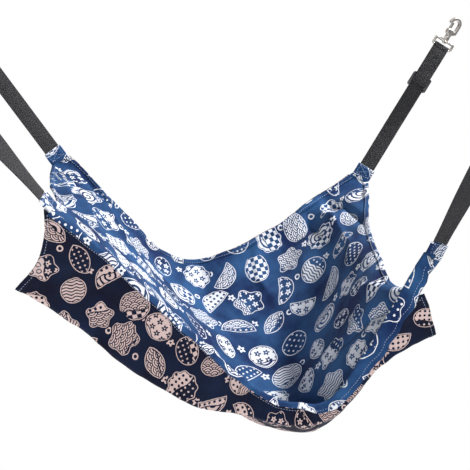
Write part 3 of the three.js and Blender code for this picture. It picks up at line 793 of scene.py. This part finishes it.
def lay_flat(piece):
    only(piece)
    bpy.ops.object.mode_set(mode="EDIT")
    bpy.ops.mesh.select_all(action="SELECT")
    bpy.ops.uv.unwrap(method="MINIMUM_STRETCH", margin=0)
    bpy.ops.object.mode_set(mode="OBJECT")
    mesh = opened(piece)
    layer = mesh.loops.layers.uv.active
    area = sum(face.calc_area() for face in mesh.faces)
    scale = math.sqrt(area / flat_area(mesh, layer))
    run = Vector((0, 0))
    for face in mesh.faces:
        for loop in face.loops:
            way = loop.link_loop_next.vert.co - loop.vert.co
            run += (loop.link_loop_next[layer].uv - loop[layer].uv) * way.x
    spin = Matrix.Rotation(-math.atan2(run.y, run.x), 2)
    loops = [loop for face in mesh.faces for loop in face.loops]
    spots = [spin @ loop[layer].uv * scale for loop in loops]
    low = Vector((min(s.x for s in spots), min(s.y for s in spots)))
    high = Vector((max(s.x for s in spots), max(s.y for s in spots)))
    for loop, spot in zip(loops, spots):
        loop[layer].uv = spot - low
    put_back(mesh, piece)
    width, length = high - low
    print(f"{piece.name}: cut from {width:.3f} by {length:.3f} m, area {area:.4f} m2")
    return width, length, area


# %% [markdown]
# ## Hand of the cloth
#
# Cotton canvas hangs in broad pull folds from its corners and carries small soft creases everywhere.
# The pull folds are placed one by one, as lines with a width and a height, and the creases come from
# layered noise. Both move the sheet along its own normal and die away at its edge, where it is sewn.
# A gentler crumple moves both cloths alike, edges too, so that their seams stay together. The noise
# is seeded, because its vector form otherwise starts from the clock.

# %% Lines of a fold
FOLD_STEP = 2 * MM
NEIGHBOURS, CLOSEST_GAP = 4, 0.1 * MM
FALL_OFF = 1.4
ROOT_SHARE, ROOT_RISE, TAIL_FALL = 0.5, 4, 2.5


def clamped(share):
    return min(1, max(0, share))


def ring_numbers(mesh):
    """How many squares each point is from the sheet's edge."""
    rings = {vert: 0 for vert in mesh.verts if vert.is_boundary}
    front = list(rings)
    while front:
        ahead = []
        for vert in front:
            for edge in vert.link_edges:
                other = edge.other_vert(vert)
                if other not in rings:
                    rings[other] = rings[vert] + 1
                    ahead.append(other)
        front = ahead
    return rings


def tree_of(spots):
    """The spots in a tree that finds the nearest one quickly."""
    tree = kdtree.KDTree(len(spots))
    for number, spot in enumerate(spots):
        tree.insert(spot, number)
    tree.balance()
    return tree


def laid_on(mesh, line):
    """A fold as close points: one drawn in plan is laid down on the sheet."""
    spots = [vert.co for vert in mesh.verts]
    plan = tree_of([(spot.x, spot.y, 0) for spot in spots])
    laid = []
    for a, b in zip(line, line[1:]):
        in_plan = len(a) == 2
        a, b = Vector(a).to_3d() * MM, Vector(b).to_3d() * MM
        steps = math.ceil((b - a).length / FOLD_STEP)
        for step in range(steps):
            point = a.lerp(b, step / steps)
            if in_plan:
                found = plan.find_n(point, NEIGHBOURS)
                near = [(spots[index].z, 1 / (gap + CLOSEST_GAP)) for _, index, gap in found]
                point.z = sum(z * weight for z, weight in near) / sum(weight for _, weight in near)
            laid.append(point)
    return laid


def fold_move(spot, rise, fold):
    """A fold's move at a spot: full along its line, falling off to the sides and at its ends."""
    tree, count, wide, high, lean = fold
    _, number, aside = tree.find(spot)
    share = number / count
    ends = min(1, share * ROOT_RISE + ROOT_SHARE) * min(1, (1 - share) * TAIL_FALL)
    share = math.exp(-((aside / MM / wide) ** FALL_OFF)) * ends
    return (rise * high + Vector((lean, 0, 0))) * share


# %% Folds and creases
NOISE_SEED = 7
noise.seed_set(NOISE_SEED)
SEAMS = [sum((Vector(p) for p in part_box(f"corner_tab_{corner}")), Vector()) / 2 for corner in CORNERS]
STILL, FADE_IN = 22 * MM, 60 * MM
EDGE_RINGS, PUCKER_RINGS = 9, 5
PUCKER_HEIGHT, PUCKER_WAVES = 0.3, 800
# Each layer of noise: waves to the metre, a shift in it, and its height in millimetres.
BROAD_CRUMPLE = (19, (0, 0, 0), 2.6)
SMALL_CRUMPLE = (52, (4, 4, 1), 1.2)
BROAD_CREASE = (17, (0, 0, 0), 1.3)
FINE_CREASE = (48, (5, 1, 3), 0.45)
SHARP_CREASE = (30, (2, 7, 4), 0.6)
SHARPNESS = 2.2


def layer_of(kind, spot, waves, shift, height):
    return kind(spot * waves + Vector(shift)) * height


def ridge(spot):
    """Noise folded over at its middle, which makes a sharp crest there."""
    return 1 - abs(noise.noise(spot)) * SHARPNESS


def drape(spot):
    """Gentle crumple that both cloths share, so that their sewn edges stay together."""
    near = min((spot - seam).length for seam in SEAMS)
    broad = layer_of(noise.noise_vector, spot, *BROAD_CRUMPLE)
    small = layer_of(noise.noise_vector, spot, *SMALL_CRUMPLE)
    return (broad + small) * clamped((near - STILL) / FADE_IN) * MM


def soften(piece, folds, crease):
    mesh = opened(piece)
    mesh.normal_update()
    rings = ring_numbers(mesh)
    lines = [laid_on(mesh, line) for line, *_ in folds]
    folds = [(tree_of(laid), len(laid), *fold[1:]) for laid, fold in zip(lines, folds)]
    moves = {}
    for vert in mesh.verts:
        spot = vert.co.copy()
        broad = layer_of(noise.noise, spot, *BROAD_CREASE)
        fine = layer_of(noise.noise, spot, *FINE_CREASE)
        creases = (broad + fine + layer_of(ridge, spot, *SHARP_CREASE)) * crease
        folded = sum((fold_move(spot, vert.normal, fold) for fold in folds), vert.normal * creases)
        wave = PUCKER_HEIGHT * math.sin(spot.length * PUCKER_WAVES)
        pucker = wave * (1 - min(1, rings[vert] / PUCKER_RINGS))
        fade = min(1, rings[vert] / EDGE_RINGS)
        moves[vert] = (folded * fade + vert.normal * pucker) * MM + drape(spot)
    for vert, move in moves.items():
        vert.co += move
    put_back(mesh, piece)


# %% Cloth sheets
LEVELS = 3
SHARP = math.radians(60)
CLOTH_THICKNESS = 1.6 * MM


def cloth_sheet(name, node, material, folds, crease, fold_crease=0.0):
    cage = upper_face(node)
    back_to_squares(cage)
    held = cage.verts.layers.float.new("crease_vert")
    bent = cage.edges.layers.float.new("crease_edge")
    for vert in cage.verts:
        if len(vert.link_edges) == 2:
            for edge in vert.link_edges:
                edge.other_vert(vert)[held] = 1
    for edge in cage.edges:
        if len(edge.link_faces) == 2 and edge.calc_face_angle() > SHARP:
            edge[bent] = fold_crease
    piece = shown(name, cage, material)
    cut = lay_flat(piece)
    smooth = piece.modifiers.new("smooth", "SUBSURF")
    smooth.levels = smooth.render_levels = LEVELS
    smooth.boundary_smooth = "PRESERVE_CORNERS"
    apply_modifiers(piece)
    soften(piece, folds, crease)
    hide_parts(node)
    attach(piece, "cloth")
    return piece, cut


def thicken(piece, thickness, offset):
    solid = piece.modifiers.new("thickness", "SOLIDIFY")
    solid.thickness = thickness
    solid.offset = offset


# Each fold: its line in millimetres, its width, its height, and how far it leans to the right.
SEAT_FOLDS = [
    ([(-178, 196), (-150, 90), (-118, -10), (-84, -110)], 7, 15, 4),
    ([(-165, 186), (-136, 90), (-103, -8), (-68, -100)], 8, -9, 0),
    ([(-186, 165), (-167, 60), (-135, -40), (-104, -130)], 8, -8, 0),
    ([(-171, 192), (-152, 110), (-132, 40), (-120, 5)], 6, -13, 8),
    ([(-186, 190), (-170, 110), (-150, 40), (-136, 0)], 6, 10, 8),
    ([(-140, 192), (-84, 110), (-30, 50)], 10, 7, 0),
    ([(-118, 196), (-62, 130), (-10, 80)], 9, -6, 0),
    ([(245, 198), (263, 152), (273, 110), (277, 60), (270, 0)], 7, 14, 9),
    ([(262, 196), (284, 152), (296, 114), (300, 65), (292, 5)], 7, -10, 0),
    ([(228, 196), (246, 150), (256, 105)], 8, -7, 0),
    ([(322, 203), (314, 174), (303, 140)], 6, -8, 0),
    ([(334, 196), (326, 168), (314, 132)], 6, 7, -4),
    ([(312, -190), (282, -120), (256, -40)], 9, 9, 3),
    ([(300, -196), (262, -140), (225, -90)], 9, -8, 0),
    ([(-172, -196), (-130, -120), (-90, -60)], 9, 8, 0),
    ([(60, 196), (80, 120), (90, 60)], 10, -6, 0),
    ([(150, 196), (160, 140), (190, 80)], 9, 6, 0),
]
seat, seat_cut = cloth_sheet("seat_sheet", "seat_cloth", print_painted_lit, SEAT_FOLDS, crease=1.0)
POCKET_FOLDS = [
    ([(-118, -211, -382), (-76, -210, -446)], 2.6, 1.8, 0),
    ([(-6, -210, -466), (20, -210, -490), (52, -210, -514)], 2.6, 1.8, 0),
    ([(-60, -211, -360), (-36, -210, -398), (-16, -210, -440)], 9, 2.5, 0),
    ([(170, -208, -470), (150, -208, -500), (140, -208, -530)], 9, 3, 0),
    ([(250, -210, -420), (230, -208, -460), (200, -208, -500)], 8, -3, 0),
    ([(-140, -214, -320), (-130, -213, -352), (-128, -212, -372)], 7, 2.5, 0),
]
pocket, pocket_cut = cloth_sheet(
    "pocket_sheet", "pocket_cloth", print_painted_shaded, POCKET_FOLDS, crease=0.8, fold_crease=0.6
)

# %% [markdown]
# ## Hems and their stitching
#
# A cut edge frays, so the maker folds it over and sews it down: the edge is thicker, with a row of
# stitches a few millimetres in. The hem is a copy of the sheet's outer rings with more thickness. The
# stitches are small grains of thread, set one by one along a line at a steady distance from the edge.

# %% Sides of a sheet
def sides_of(mesh):
    """The four chains of edge points between the sheet's corners, by where they lie."""
    corners = [v for v in mesh.verts if v.is_boundary and len(v.link_edges) == 2]
    chains = []
    for corner in corners:
        for edge in corner.link_edges:
            chain, last = [corner], edge
            while True:
                chain.append(last.other_vert(chain[-1]))
                if chain[-1] in corners:
                    break
                last = next(e for e in chain[-1].link_edges if e.is_boundary and e != last)
            if not any(other[0] == chain[-1] and other[-1] == corner for other in chains):
                chains.append(chain)
    middles = [(sum((v.co for v in chain), Vector()) / len(chain), chain) for chain in chains]
    return {
        "left": min(middles, key=lambda m: m[0].x)[1],
        "right": max(middles, key=lambda m: m[0].x)[1],
        "front": min(middles, key=lambda m: m[0].y)[1],
        "back": max(middles, key=lambda m: m[0].y)[1],
    }


def walk_in(vert, steps):
    """Points met on the way straight into the sheet from a point of its edge."""
    edge = next((e for e in vert.link_edges if not e.is_boundary), None)
    path = [vert]
    while edge and len(path) <= steps:
        path.append(edge.other_vert(path[-1]))
        beside = {e for face in edge.link_faces for e in face.edges}
        edge = next((e for e in path[-1].link_edges if e not in beside), None)
    return path


def point_inside(path, distance):
    """The place at this distance along a path, and the sheet's normal there."""
    gone = 0
    for a, b in zip(path, path[1:]):
        step = (b.co - a.co).length
        if gone + step >= distance:
            share = (distance - gone) / step
            return a.co.lerp(b.co, share), a.normal.lerp(b.normal, share).normalized()
        gone += step
    return path[-1].co.copy(), path[-1].normal.copy()


# %% Grains of thread
STITCH_PITCH = 3.8 * MM
STITCH_SIZE = Vector((2.7, 0.6, 0.5)) * MM
GRAIN_SIDES, GRAIN_BANDS, GRAIN_BLOCK = 6, 4, 24
SEAM_WALK = 8


def stitch_places(line):
    """Where each grain of thread lies, at a steady pitch along a line of points with normals."""
    places, ahead = [], STITCH_PITCH / 2
    for (a, up_a), (b, up_b) in zip(line, line[1:]):
        step = (b - a).length
        while ahead < step:
            share = ahead / step
            along = (b - a).normalized()
            rise = up_a.lerp(up_b, share).normalized()
            aside = rise.cross(along).normalized()
            rise = along.cross(aside)
            turn = Matrix((along, aside, rise)).transposed().to_4x4()
            size = Matrix.Diagonal((*STITCH_SIZE, 1))
            places.append(Matrix.Translation(a.lerp(b, share)) @ turn @ size)
            ahead += STITCH_PITCH
        ahead -= step
    return places


def add_grains(mesh, places):
    """Small blocks keep this quick: an operator slows down as its mesh grows."""
    for start in range(0, len(places), GRAIN_BLOCK):
        block = bmesh.new()
        for place in places[start:start + GRAIN_BLOCK]:
            bmesh.ops.create_uvsphere(
                block, u_segments=GRAIN_SIDES, v_segments=GRAIN_BANDS, radius=0.5, matrix=place
            )
        data = bpy.data.meshes.new("block")
        block.to_mesh(data)
        block.free()
        mesh.from_mesh(data)
        bpy.data.meshes.remove(data)


def stitch_lines(piece, sides, distance, lift, skip):
    """One line of stitches along each side; a lift below zero puts it under the cloth."""
    mesh = opened(piece)
    found = sides_of(mesh)
    lines = []
    for side in sides:
        line = []
        for vert in found[side][skip:-skip]:
            spot, rise = point_inside(walk_in(vert, SEAM_WALK), distance)
            rise = rise * (1 if lift > 0 else -1)
            line.append((spot + rise * abs(lift), rise))
        lines.append(line)
    mesh.free()
    return lines


def stitching(name, lines):
    mesh = bmesh.new()
    add_grains(mesh, [place for line in lines for place in stitch_places(line)])
    piece = shown(name, mesh, pale_thread)
    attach(piece, "cloth")
    return piece


# %% Hems
HEM_RINGS = 3
HEM_THICKNESS = 2.6 * MM
HEM_OFFSET = -0.615
ENDS, ALL_ROUND = ("left", "right"), ("front", "back", "left", "right")
TIP_POINTS = 10
SEAT_SEAM_IN, POCKET_SEAM_IN, POCKET_FRONT_IN = 6 * MM, 5.2 * MM, 7 * MM
ON_HEM, UNDER_HEM, UNDER_CLOTH = 0.55 * MM, -2.15 * MM, -1.65 * MM


def hem(piece, name, sides, material):
    mesh = opened(piece)
    found = sides_of(mesh)
    near = {vert for side in sides for start in found[side] for vert in walk_in(start, HEM_RINGS)}
    away = [face for face in mesh.faces if not all(vert in near for vert in face.verts)]
    bmesh.ops.delete(mesh, geom=away, context="FACES")
    band = shown(name, mesh, material)
    thicken(band, HEM_THICKNESS, HEM_OFFSET)
    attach(band, "cloth")
    return band


seat_hem = hem(seat, "seat_hem", ALL_ROUND, print_painted_lit)
pocket_hem = hem(pocket, "pocket_hem", ENDS, print_painted_shaded)
seat_stitches = stitching(
    "seat_stitches",
    stitch_lines(seat, ALL_ROUND, SEAT_SEAM_IN, ON_HEM, TIP_POINTS)
    + stitch_lines(seat, ENDS, SEAT_SEAM_IN, UNDER_HEM, TIP_POINTS),
)
pocket_stitches = stitching(
    "pocket_stitches",
    stitch_lines(pocket, ENDS, POCKET_SEAM_IN, ON_HEM, skip=1)
    + stitch_lines(pocket, ENDS, POCKET_SEAM_IN, UNDER_HEM, skip=1)
    + stitch_lines(pocket, ("front",), POCKET_FRONT_IN, UNDER_CLOTH, skip=1),
)
print(len(seat_stitches.data.polygons) // (GRAIN_SIDES * GRAIN_BANDS), "stitches on the seat")

# %% [markdown]
# ## The front cuff
#
# Along the front the seat's cloth is folded outwards over the pocket's top edge, so its print, in the
# seat's painted lit colours, shows as a lighter band: wide near the right corner, hardly there in the
# middle. The cuff grows from the sheet's own front edge, row by row, and its print runs on from the
# sheet's.

# %% Run of the cuff
APRON_OUT = 4.3
# Each width: a place along the rim, in half spans from its middle, and the cuff's width there in mm.
CUFF_WIDTHS = (
    (-1.2, 4), (-0.7, 4), (-0.2, 3.5), (0.44, 4), (0.5, 8),
    (0.62, 14), (0.75, 20), (0.88, 18), (0.95, 12), (1.2, 9),
)
# Each row of the roll over the rim: how far out and how far up it lies, in mm.
ROLL_ROWS = ((-1, 0.4), (-0.2, 1.9), (1.4, 2.9), (3.1, 2.5), (APRON_OUT, 0.8))
SPAN_MIDDLE, HALF_SPAN = 72.27 * MM, 253 * MM
RIM_POINTS = 4
RAGGED, RAGGED_WAVES = 0.25, 45
FLARE = 0.09
BILLOW, BILLOW_WAVES, BILLOW_RUN = 2.4, 38, 14


def between(table, at):
    """A table of pairs read at any place, in straight lines from pair to pair."""
    for (low, first), (high, last) in zip(table, table[1:]):
        if at <= high:
            return first + (last - first) * max(0, at - low) / (high - low)
    return table[-1][1]


def cuff_frame(chain, number):
    """Where a point of the rim is, which way is down across the rim, and how wide the cuff is."""
    spot = chain[number].co
    ahead, behind = min(number + RIM_POINTS, len(chain) - 1), max(number - RIM_POINTS, 0)
    way = chain[ahead].co - chain[behind].co
    drop = Vector((way.z, 0, -way.x)).normalized()
    if drop.z > 0:
        drop.negate()
    share = (spot.x - SPAN_MIDDLE) / HALF_SPAN
    ragged = 1 + noise.noise(spot * RAGGED_WAVES) * RAGGED
    return spot.copy(), drop, between(CUFF_WIDTHS, share) * ragged


def cuff_point(rim, outward, down):
    """A place on the cuff, which flares and waves more the further down it is."""
    spot, drop, width = rim
    share = max(0, down / width)
    billow = noise.noise(spot * BILLOW_WAVES + Vector((0, 3, down / BILLOW_RUN)))
    wave = (billow + 0.5) * BILLOW * share
    out = outward + max(0, down) * FLARE + max(0, wave)
    return spot + (Vector((0, -out, 0)) + drop * down) * MM


# %% Cuff
APRON_ROWS = 9
CUFF_THICKNESS = 1.2 * MM
THREAD_PROUD = 0.75
NARROW_INSET, WIDER_INSET, INSET_GROWS_FROM, INSET_GROWS_OVER = 3.2, 3.8, 8, 6
LEAST_ABOVE_SEAM = 1.5


def drawn_out(mesh, chain):
    """A new row of points grown from a chain of edge points, in the same order."""
    edges = [next(e for e in a.link_edges if e.other_vert(a) == b) for a, b in zip(chain, chain[1:])]
    grown = bmesh.ops.extrude_edge_only(mesh, edges=edges)["geom"]
    fresh = {item for item in grown if isinstance(item, bmesh.types.BMVert)}
    return [next(e.other_vert(v) for e in v.link_edges if e.other_vert(v) in fresh) for v in chain]


def cuff_sheet(piece):
    mesh = opened(piece)
    chain = sides_of(mesh)["front"]
    if chain[0].co.x > chain[-1].co.x:
        chain.reverse()
    layer = mesh.loops.layers.uv.active
    flats = [vert.link_loops[0][layer].uv.copy() for vert in chain]
    rims = [cuff_frame(chain, number) for number in range(len(chain))]
    kept = set(chain)
    bmesh.ops.delete(mesh, geom=[vert for vert in mesh.verts if vert not in kept], context="VERTS")
    rows = [[(out, -up) for _ in rims] for out, up in ROLL_ROWS]
    for row in range(1, APRON_ROWS + 1):
        rows.append([(APRON_OUT, width * row / APRON_ROWS) for _, _, width in rims])
    flat_of, before = {}, None
    for row in rows:
        now = drawn_out(mesh, before) if before else chain
        for number, (vert, (out, down)) in enumerate(zip(now, row)):
            vert.co = cuff_point(rims[number], out, down)
            gone = 0
            if before:
                gone = flat_of[before[number]][1] + (vert.co - before[number].co).length
            flat_of[vert] = (number, gone)
        before = now
    for face in mesh.faces:
        for loop in face.loops:
            number, gone = flat_of[loop.vert]
            loop[layer].uv = flats[number] - Vector((0, gone))
    bmesh.ops.recalc_face_normals(mesh, faces=mesh.faces)
    if sum(face.normal.y for face in mesh.faces) > 0:
        bmesh.ops.reverse_faces(mesh, faces=mesh.faces)
    return shown("seat_cuff", mesh, print_painted_lit), rims


def cuff_seams(rims):
    """Lines of stitches where the cuff is wide enough to be sewn."""
    lines, line = [], []
    for rim in rims[TIP_POINTS:-TIP_POINTS]:
        width = rim[2]
        inset = NARROW_INSET + WIDER_INSET * clamped((width - INSET_GROWS_FROM) / INSET_GROWS_OVER)
        if width > inset + LEAST_ABOVE_SEAM:
            line.append((cuff_point(rim, APRON_OUT + THREAD_PROUD, width - inset), Vector((0, -1, 0))))
        elif line:
            lines.append(line)
            line = []
    lines.append(line)
    return [line for line in lines if len(line) > 1]


seat_cuff, rims = cuff_sheet(seat)
thicken(seat_cuff, CUFF_THICKNESS, 0)
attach(seat_cuff, "cloth")
cuff_stitches = stitching("cuff_stitches", cuff_seams(rims))
thicken(seat, CLOTH_THICKNESS, -1)
thicken(pocket, CLOTH_THICKNESS, -1)
print("cuff of", len(seat_cuff.data.polygons), "faces")

# %% [markdown]
# ## Webbing
#
# Webbing is a flat woven tape with soft selvages. The imported strap already runs, twists and loops as
# it should, so its closed band is kept: its squares are restored, the long edges are rounded, and the
# band is divided along its length. The pattern needs the distance along the tape and across it, which
# is measured from the band's own sections.

# %% Sections of a band
def squared_band(node):
    mesh = merged_copy(node)
    bmesh.ops.join_triangles(
        mesh, faces=mesh.faces, angle_face_threshold=math.pi, angle_shape_threshold=math.pi
    )
    return mesh


def sections_of(mesh, start):
    """Rings of four points, from the end of the band that is nearest to start."""
    ends = [face for face in mesh.faces if all(len(v.link_edges) == 3 for v in face.verts)]
    cap = min(ends, key=lambda face: (face.calc_center_median() - start).length)
    rings = [list(cap.verts)]
    seen = set(cap.verts)
    while True:
        ahead = []
        for vert in rings[-1]:
            ahead += [e.other_vert(vert) for e in vert.link_edges if e.other_vert(vert) not in seen]
        if len(ahead) != 4:
            return rings
        rings.append(ahead)
        seen |= set(ahead)


def middle_line(rings):
    """Middle of each section and the direction across the tape there."""
    line = []
    for ring in rings:
        middle = sum((vert.co for vert in ring), Vector()) / 4
        spans = [ring[1].co - ring[0].co, ring[3].co - ring[0].co]
        line.append((middle, max(spans, key=lambda s: s.length).normalized()))
    for k in range(1, len(line)):
        if line[k][1].dot(line[k - 1][1]) < 0:
            line[k] = (line[k][0], -line[k][1])
    return line


def measure_flat(mesh, line):
    """Distance along the tape and across it, as the piece's own UV map."""
    layer = mesh.loops.layers.uv.new("UVMap")
    runs, total = [], 0
    for (a, _), (b, _) in zip(line, line[1:]):
        runs.append(total)
        total += (b - a).length
    for vert in mesh.verts:
        best = None
        for (a, wide_a), (b, wide_b), run in zip(line, line[1:], runs):
            way = b - a
            share = clamped((vert.co - a).dot(way) / way.length_squared)
            wide = wide_a.lerp(wide_b, share).normalized()
            off = vert.co - a.lerp(b, share)
            aside = off.dot(wide)
            miss = (off - wide * aside).length
            if best is None or miss < best[0]:
                best = (miss, run + share * way.length, aside)
        for loop in vert.link_loops:
            loop[layer].uv = best[1:]
    return total


# %% Tape
SELVAGE = 0.55 * MM


def tape(name, node, start, cuts):
    mesh = squared_band(node)
    rings = sections_of(mesh, start)
    line = middle_line(rings)
    ring_of = {vert: k for k, ring in enumerate(rings) for vert in ring}
    long_edges = [e for e in mesh.edges if ring_of[e.verts[0]] != ring_of[e.verts[1]]]
    bmesh.ops.subdivide_edges(mesh, edges=long_edges, cuts=cuts, use_grid_fill=True)
    sharp = [e for e in mesh.edges if len(e.link_faces) == 2 and e.calc_face_angle() > SHARP]
    bmesh.ops.bevel(
        mesh, geom=sharp, offset=SELVAGE, segments=2, profile=0.5, affect="EDGES", material=-1
    )
    length = measure_flat(mesh, line)
    piece = shown(name, mesh, black_webbing)
    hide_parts(node)
    return piece, line, length


# %% Straps
CLOTH_MIDDLE = Vector((0.072, 0, -0.3))
STRAP_CUTS, RETURN_CUTS = 3, 2
BEND_LENGTH = 25  # mm
sewn_ends = {}
for corner in CORNERS:
    strap, line, length = tape(
        f"strap_tape_{corner}", f"strap_webbing_{corner}", CLOTH_MIDDLE, STRAP_CUTS
    )
    seam, inside = line[0][0], line[1][0]
    along = (inside - seam).normalized()
    seam + along * BEND_LENGTH * MM
    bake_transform(strap)
    sewn_ends[corner] = (seam, along, line[0][1])
    back, back_line, back_length = tape(
        f"strap_end_{corner}", f"strap_return_{corner}", line[-1][0], RETURN_CUTS
    )
    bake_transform(back)
    print(f"{corner}: {length:.3f} m of tape and {back_length:.3f} m folded back")

# %% [markdown]
# ## Corner sleeves
#
# Where a strap is sewn to the cloth, the maker folds a small sleeve of the same cloth over the joint
# and sews a box with a cross through all layers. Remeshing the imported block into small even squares
# and relaxing it gives the soft pillow form of several layers sewn together.

# %% Corner sleeves
TAB_VOXEL = 0.9 * MM
TAB_OVER_CLOTH = 5 * MM
TAB_FROM_SEAM = 18 * MM
RELAX_TURNS = 4
PUFF, UNEVEN, UNEVEN_WAVES, SPREAD = 1.28, 0.12, 150, 0.03
PRINT_SHIFT = 3


def sleeve(corner, seam, along, across, rise):
    mesh = merged_copy(f"corner_tab_{corner}")
    far = [vert for vert in mesh.verts if (vert.co - seam).dot(along) < -TAB_FROM_SEAM / 2]
    bmesh.ops.translate(mesh, verts=far, vec=-along * TAB_OVER_CLOTH)
    tab = shown(f"corner_sleeve_{corner}", mesh, print_painted_lit)
    remesh = tab.modifiers.new("even squares", "REMESH")
    remesh.mode = "VOXEL"
    remesh.voxel_size = TAB_VOXEL
    relax = tab.modifiers.new("relax", "SMOOTH")
    relax.iterations = RELAX_TURNS
    apply_modifiers(tab)
    mesh = opened(tab)
    layer = mesh.loops.layers.uv.new("UVMap")
    for vert in mesh.verts:
        off = vert.co - seam
        level = off.dot(rise)
        puff = PUFF + UNEVEN * noise.noise(vert.co * UNEVEN_WAVES)
        vert.co += rise * level * (puff - 1) + across * off.dot(across) * SPREAD
        for loop in vert.link_loops:
            loop[layer].uv = (
                off.dot(across) + seam.x * PRINT_SHIFT, off.dot(along) + seam.y * PRINT_SHIFT
            )
    put_back(mesh, tab)
    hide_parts(f"corner_tab_{corner}")
    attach(tab, "cloth")
    return tab


# %% Sewn boxes, in mm across and along the strap
BOX_HALF, BOX_START, BOX_END = 10.5, -2.5, -16
THREAD_RISE = 2.25
start_left, start_right = (-BOX_HALF, BOX_START), (BOX_HALF, BOX_START)
end_left, end_right = (-BOX_HALF, BOX_END), (BOX_HALF, BOX_END)
BOX_AND_DIAGONAL = (start_left, start_right, end_right, end_left, start_left, end_right)
OTHER_DIAGONAL = (end_left, start_right)


def box_seams(seam, along, across, rise):
    """A box with a cross in it on both faces of the sleeve, as straight lines of stitches."""
    lines = []
    for face in (1, -1):
        for route in (BOX_AND_DIAGONAL, OTHER_DIAGONAL):
            lift = rise * (face * THREAD_RISE * MM)
            spots = [
                (seam + across * (a * MM) + along * (b * MM) + lift, rise * face) for a, b in route
            ]
            lines += [[a, b] for a, b in zip(spots, spots[1:])]
    return lines


for corner, (seam, along, across) in sewn_ends.items():
    rise = along.cross(across).normalized()
    sleeve(corner, seam, along, across, rise)
    stitching(f"sleeve_stitches_{corner}", box_seams(seam, along, across, rise))

# %% [markdown]
# ## Slider, eye, hook and gate
#
# These small parts are cast or moulded, so no edge is sharp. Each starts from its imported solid, with
# the flat areas made whole again, and a Bevel modifier rounds the edges. The rivet and the spring are
# right as they are and only get a finish.

# %% Rounded hardware
FLAT_ANGLE, BEVEL_ANGLE, CREASE_ANGLE = (math.radians(angle) for angle in (2, 34, 50))
BEVEL_SEGMENTS = 3
# Each piece: its name, which its body shares, its node, its finish, its bevel's width and its slot.
HARDWARE = (
    ("slider", "strap_slider", moulded, 0.5 * MM, "slider"),
    ("eye", "swivel_eye", nickel, 0.4 * MM, "hook_metal"),
    ("hook", "hook_body", nickel, 0.35 * MM, "hook_metal"),
    ("gate", "hook_gate", nickel, 0.4 * MM, "hook_metal"),
)


def rounded(name, node, material, edge):
    mesh = merged_copy(node)
    bmesh.ops.dissolve_limit(mesh, angle_limit=FLAT_ANGLE, verts=mesh.verts, edges=mesh.edges)
    bmesh.ops.recalc_face_normals(mesh, faces=mesh.faces)
    piece = shown(name, mesh, material)
    bevel = piece.modifiers.new("rounded edges", "BEVEL")
    bevel.width = edge
    bevel.segments = BEVEL_SEGMENTS
    bevel.limit_method = "ANGLE"
    bevel.angle_limit = BEVEL_ANGLE
    bevel.use_clamp_overlap = True
    apply_modifiers(piece)
    piece.data.set_sharp_from_angle(angle=CREASE_ANGLE)
    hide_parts(node)
    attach(piece, name)
    return piece


for corner in CORNERS:
    for part, node, finish, edge, slot in HARDWARE:
        piece = rounded(f"{part}_{corner}", f"{node}_{corner}", finish, edge)
        print(piece.name, "has", len(piece.data.polygons), "faces")
    for node in (f"gate_rivet_{corner}", f"gate_spring_{corner}"):
        nodes[node].material_slots[0].material = spring_steel

# %% [markdown]
# ## Floor, sky and lamps
#
# The bed hangs in the air over a pale studio floor. One small lamp stands high on the right, so that
# the folds throw shadows, and a large weak one fills from the front. Floor and sky are white where the
# camera sees them, and the sky gives only part of that as light. Reflections see a dark band in it,
# which shapes the metal.

# %% Floor
FLOOR_DROP, FLOOR_SIZE = 0.9, 60
FLOOR_COLOUR, FLOOR_ROUGHNESS = (0.85, 0.85, 0.86, 1), 0.9


def ray(tree, kind):
    """1 for rays of one kind, such as those that the camera itself sees, and 0 for all others."""
    return Wire(tree, new_node(tree, "ShaderNodeLightPath").outputs[kind])


mesh = bmesh.new()
bmesh.ops.create_grid(mesh, x_segments=1, y_segments=1, size=FLOOR_SIZE)
bmesh.ops.translate(mesh, verts=mesh.verts, vec=(0, 0, cad_box[0][2] - FLOOR_DROP))
floor_finish, tree, shader = material_of("pale floor")
shader.inputs["Base Color"].default_value = FLOOR_COLOUR
shader.inputs["Roughness"].default_value = FLOOR_ROUGHNESS
glow = new_node(tree, "ShaderNodeEmission")
seen_or_lit = new_node(tree, "ShaderNodeMixShader")
feed(tree, ray(tree, "Is Camera Ray"), seen_or_lit.inputs[0])
tree.links.new(shader.outputs[0], seen_or_lit.inputs[1])
tree.links.new(glow.outputs[0], seen_or_lit.inputs[2])
tree.links.new(seen_or_lit.outputs[0], tree.nodes["Material Output"].inputs["Surface"])
floor = shown("floor", mesh, floor_finish)
print("floor at", round(floor.data.vertices[0].co.z, 3), "m")

# %% Sky and lamps
SKY_LIGHT = 0.26
DARK_BAND, BAND_SLOPE, BAND_LIGHT = 0.2, 3.0, 0.04

sky = bpy.data.worlds.new("sky")
sky.use_nodes = True
scene.world = sky
tree = sky.node_tree
backdrop = tree.nodes["Background"]
backdrop.inputs["Color"].default_value = (1, 1, 1, 1)
height = split(tree, coordinates(tree, "Generated"))[2]
banded = ((height - DARK_BAND).size() * BAND_SLOPE + BAND_LIGHT).math("MINIMUM", 1.0)
unseen = ray(tree, "Is Glossy Ray") * (banded - SKY_LIGHT) + SKY_LIGHT
feed(tree, ray(tree, "Is Camera Ray") * (1 - unseen) + unseen, backdrop.inputs["Strength"])


def lamp(name, place, power, size):
    light = bpy.data.lights.new(name, "AREA")
    light.energy = power
    light.size = size
    piece = bpy.data.objects.new(name, light)
    facing = (LOOK_AT - Vector(place)).to_track_quat("-Z", "Y").to_matrix().to_4x4()
    piece.matrix_world = Matrix.Translation(place) @ facing
    scene.collection.objects.link(piece)
    print(f"{name}: {power} W from {place}")


lamp("sun side", (1.9, 0.3, 2.6), power=250, size=0.35)
lamp("fill side", (-0.6, -3.2, -0.4), power=80, size=1.6)
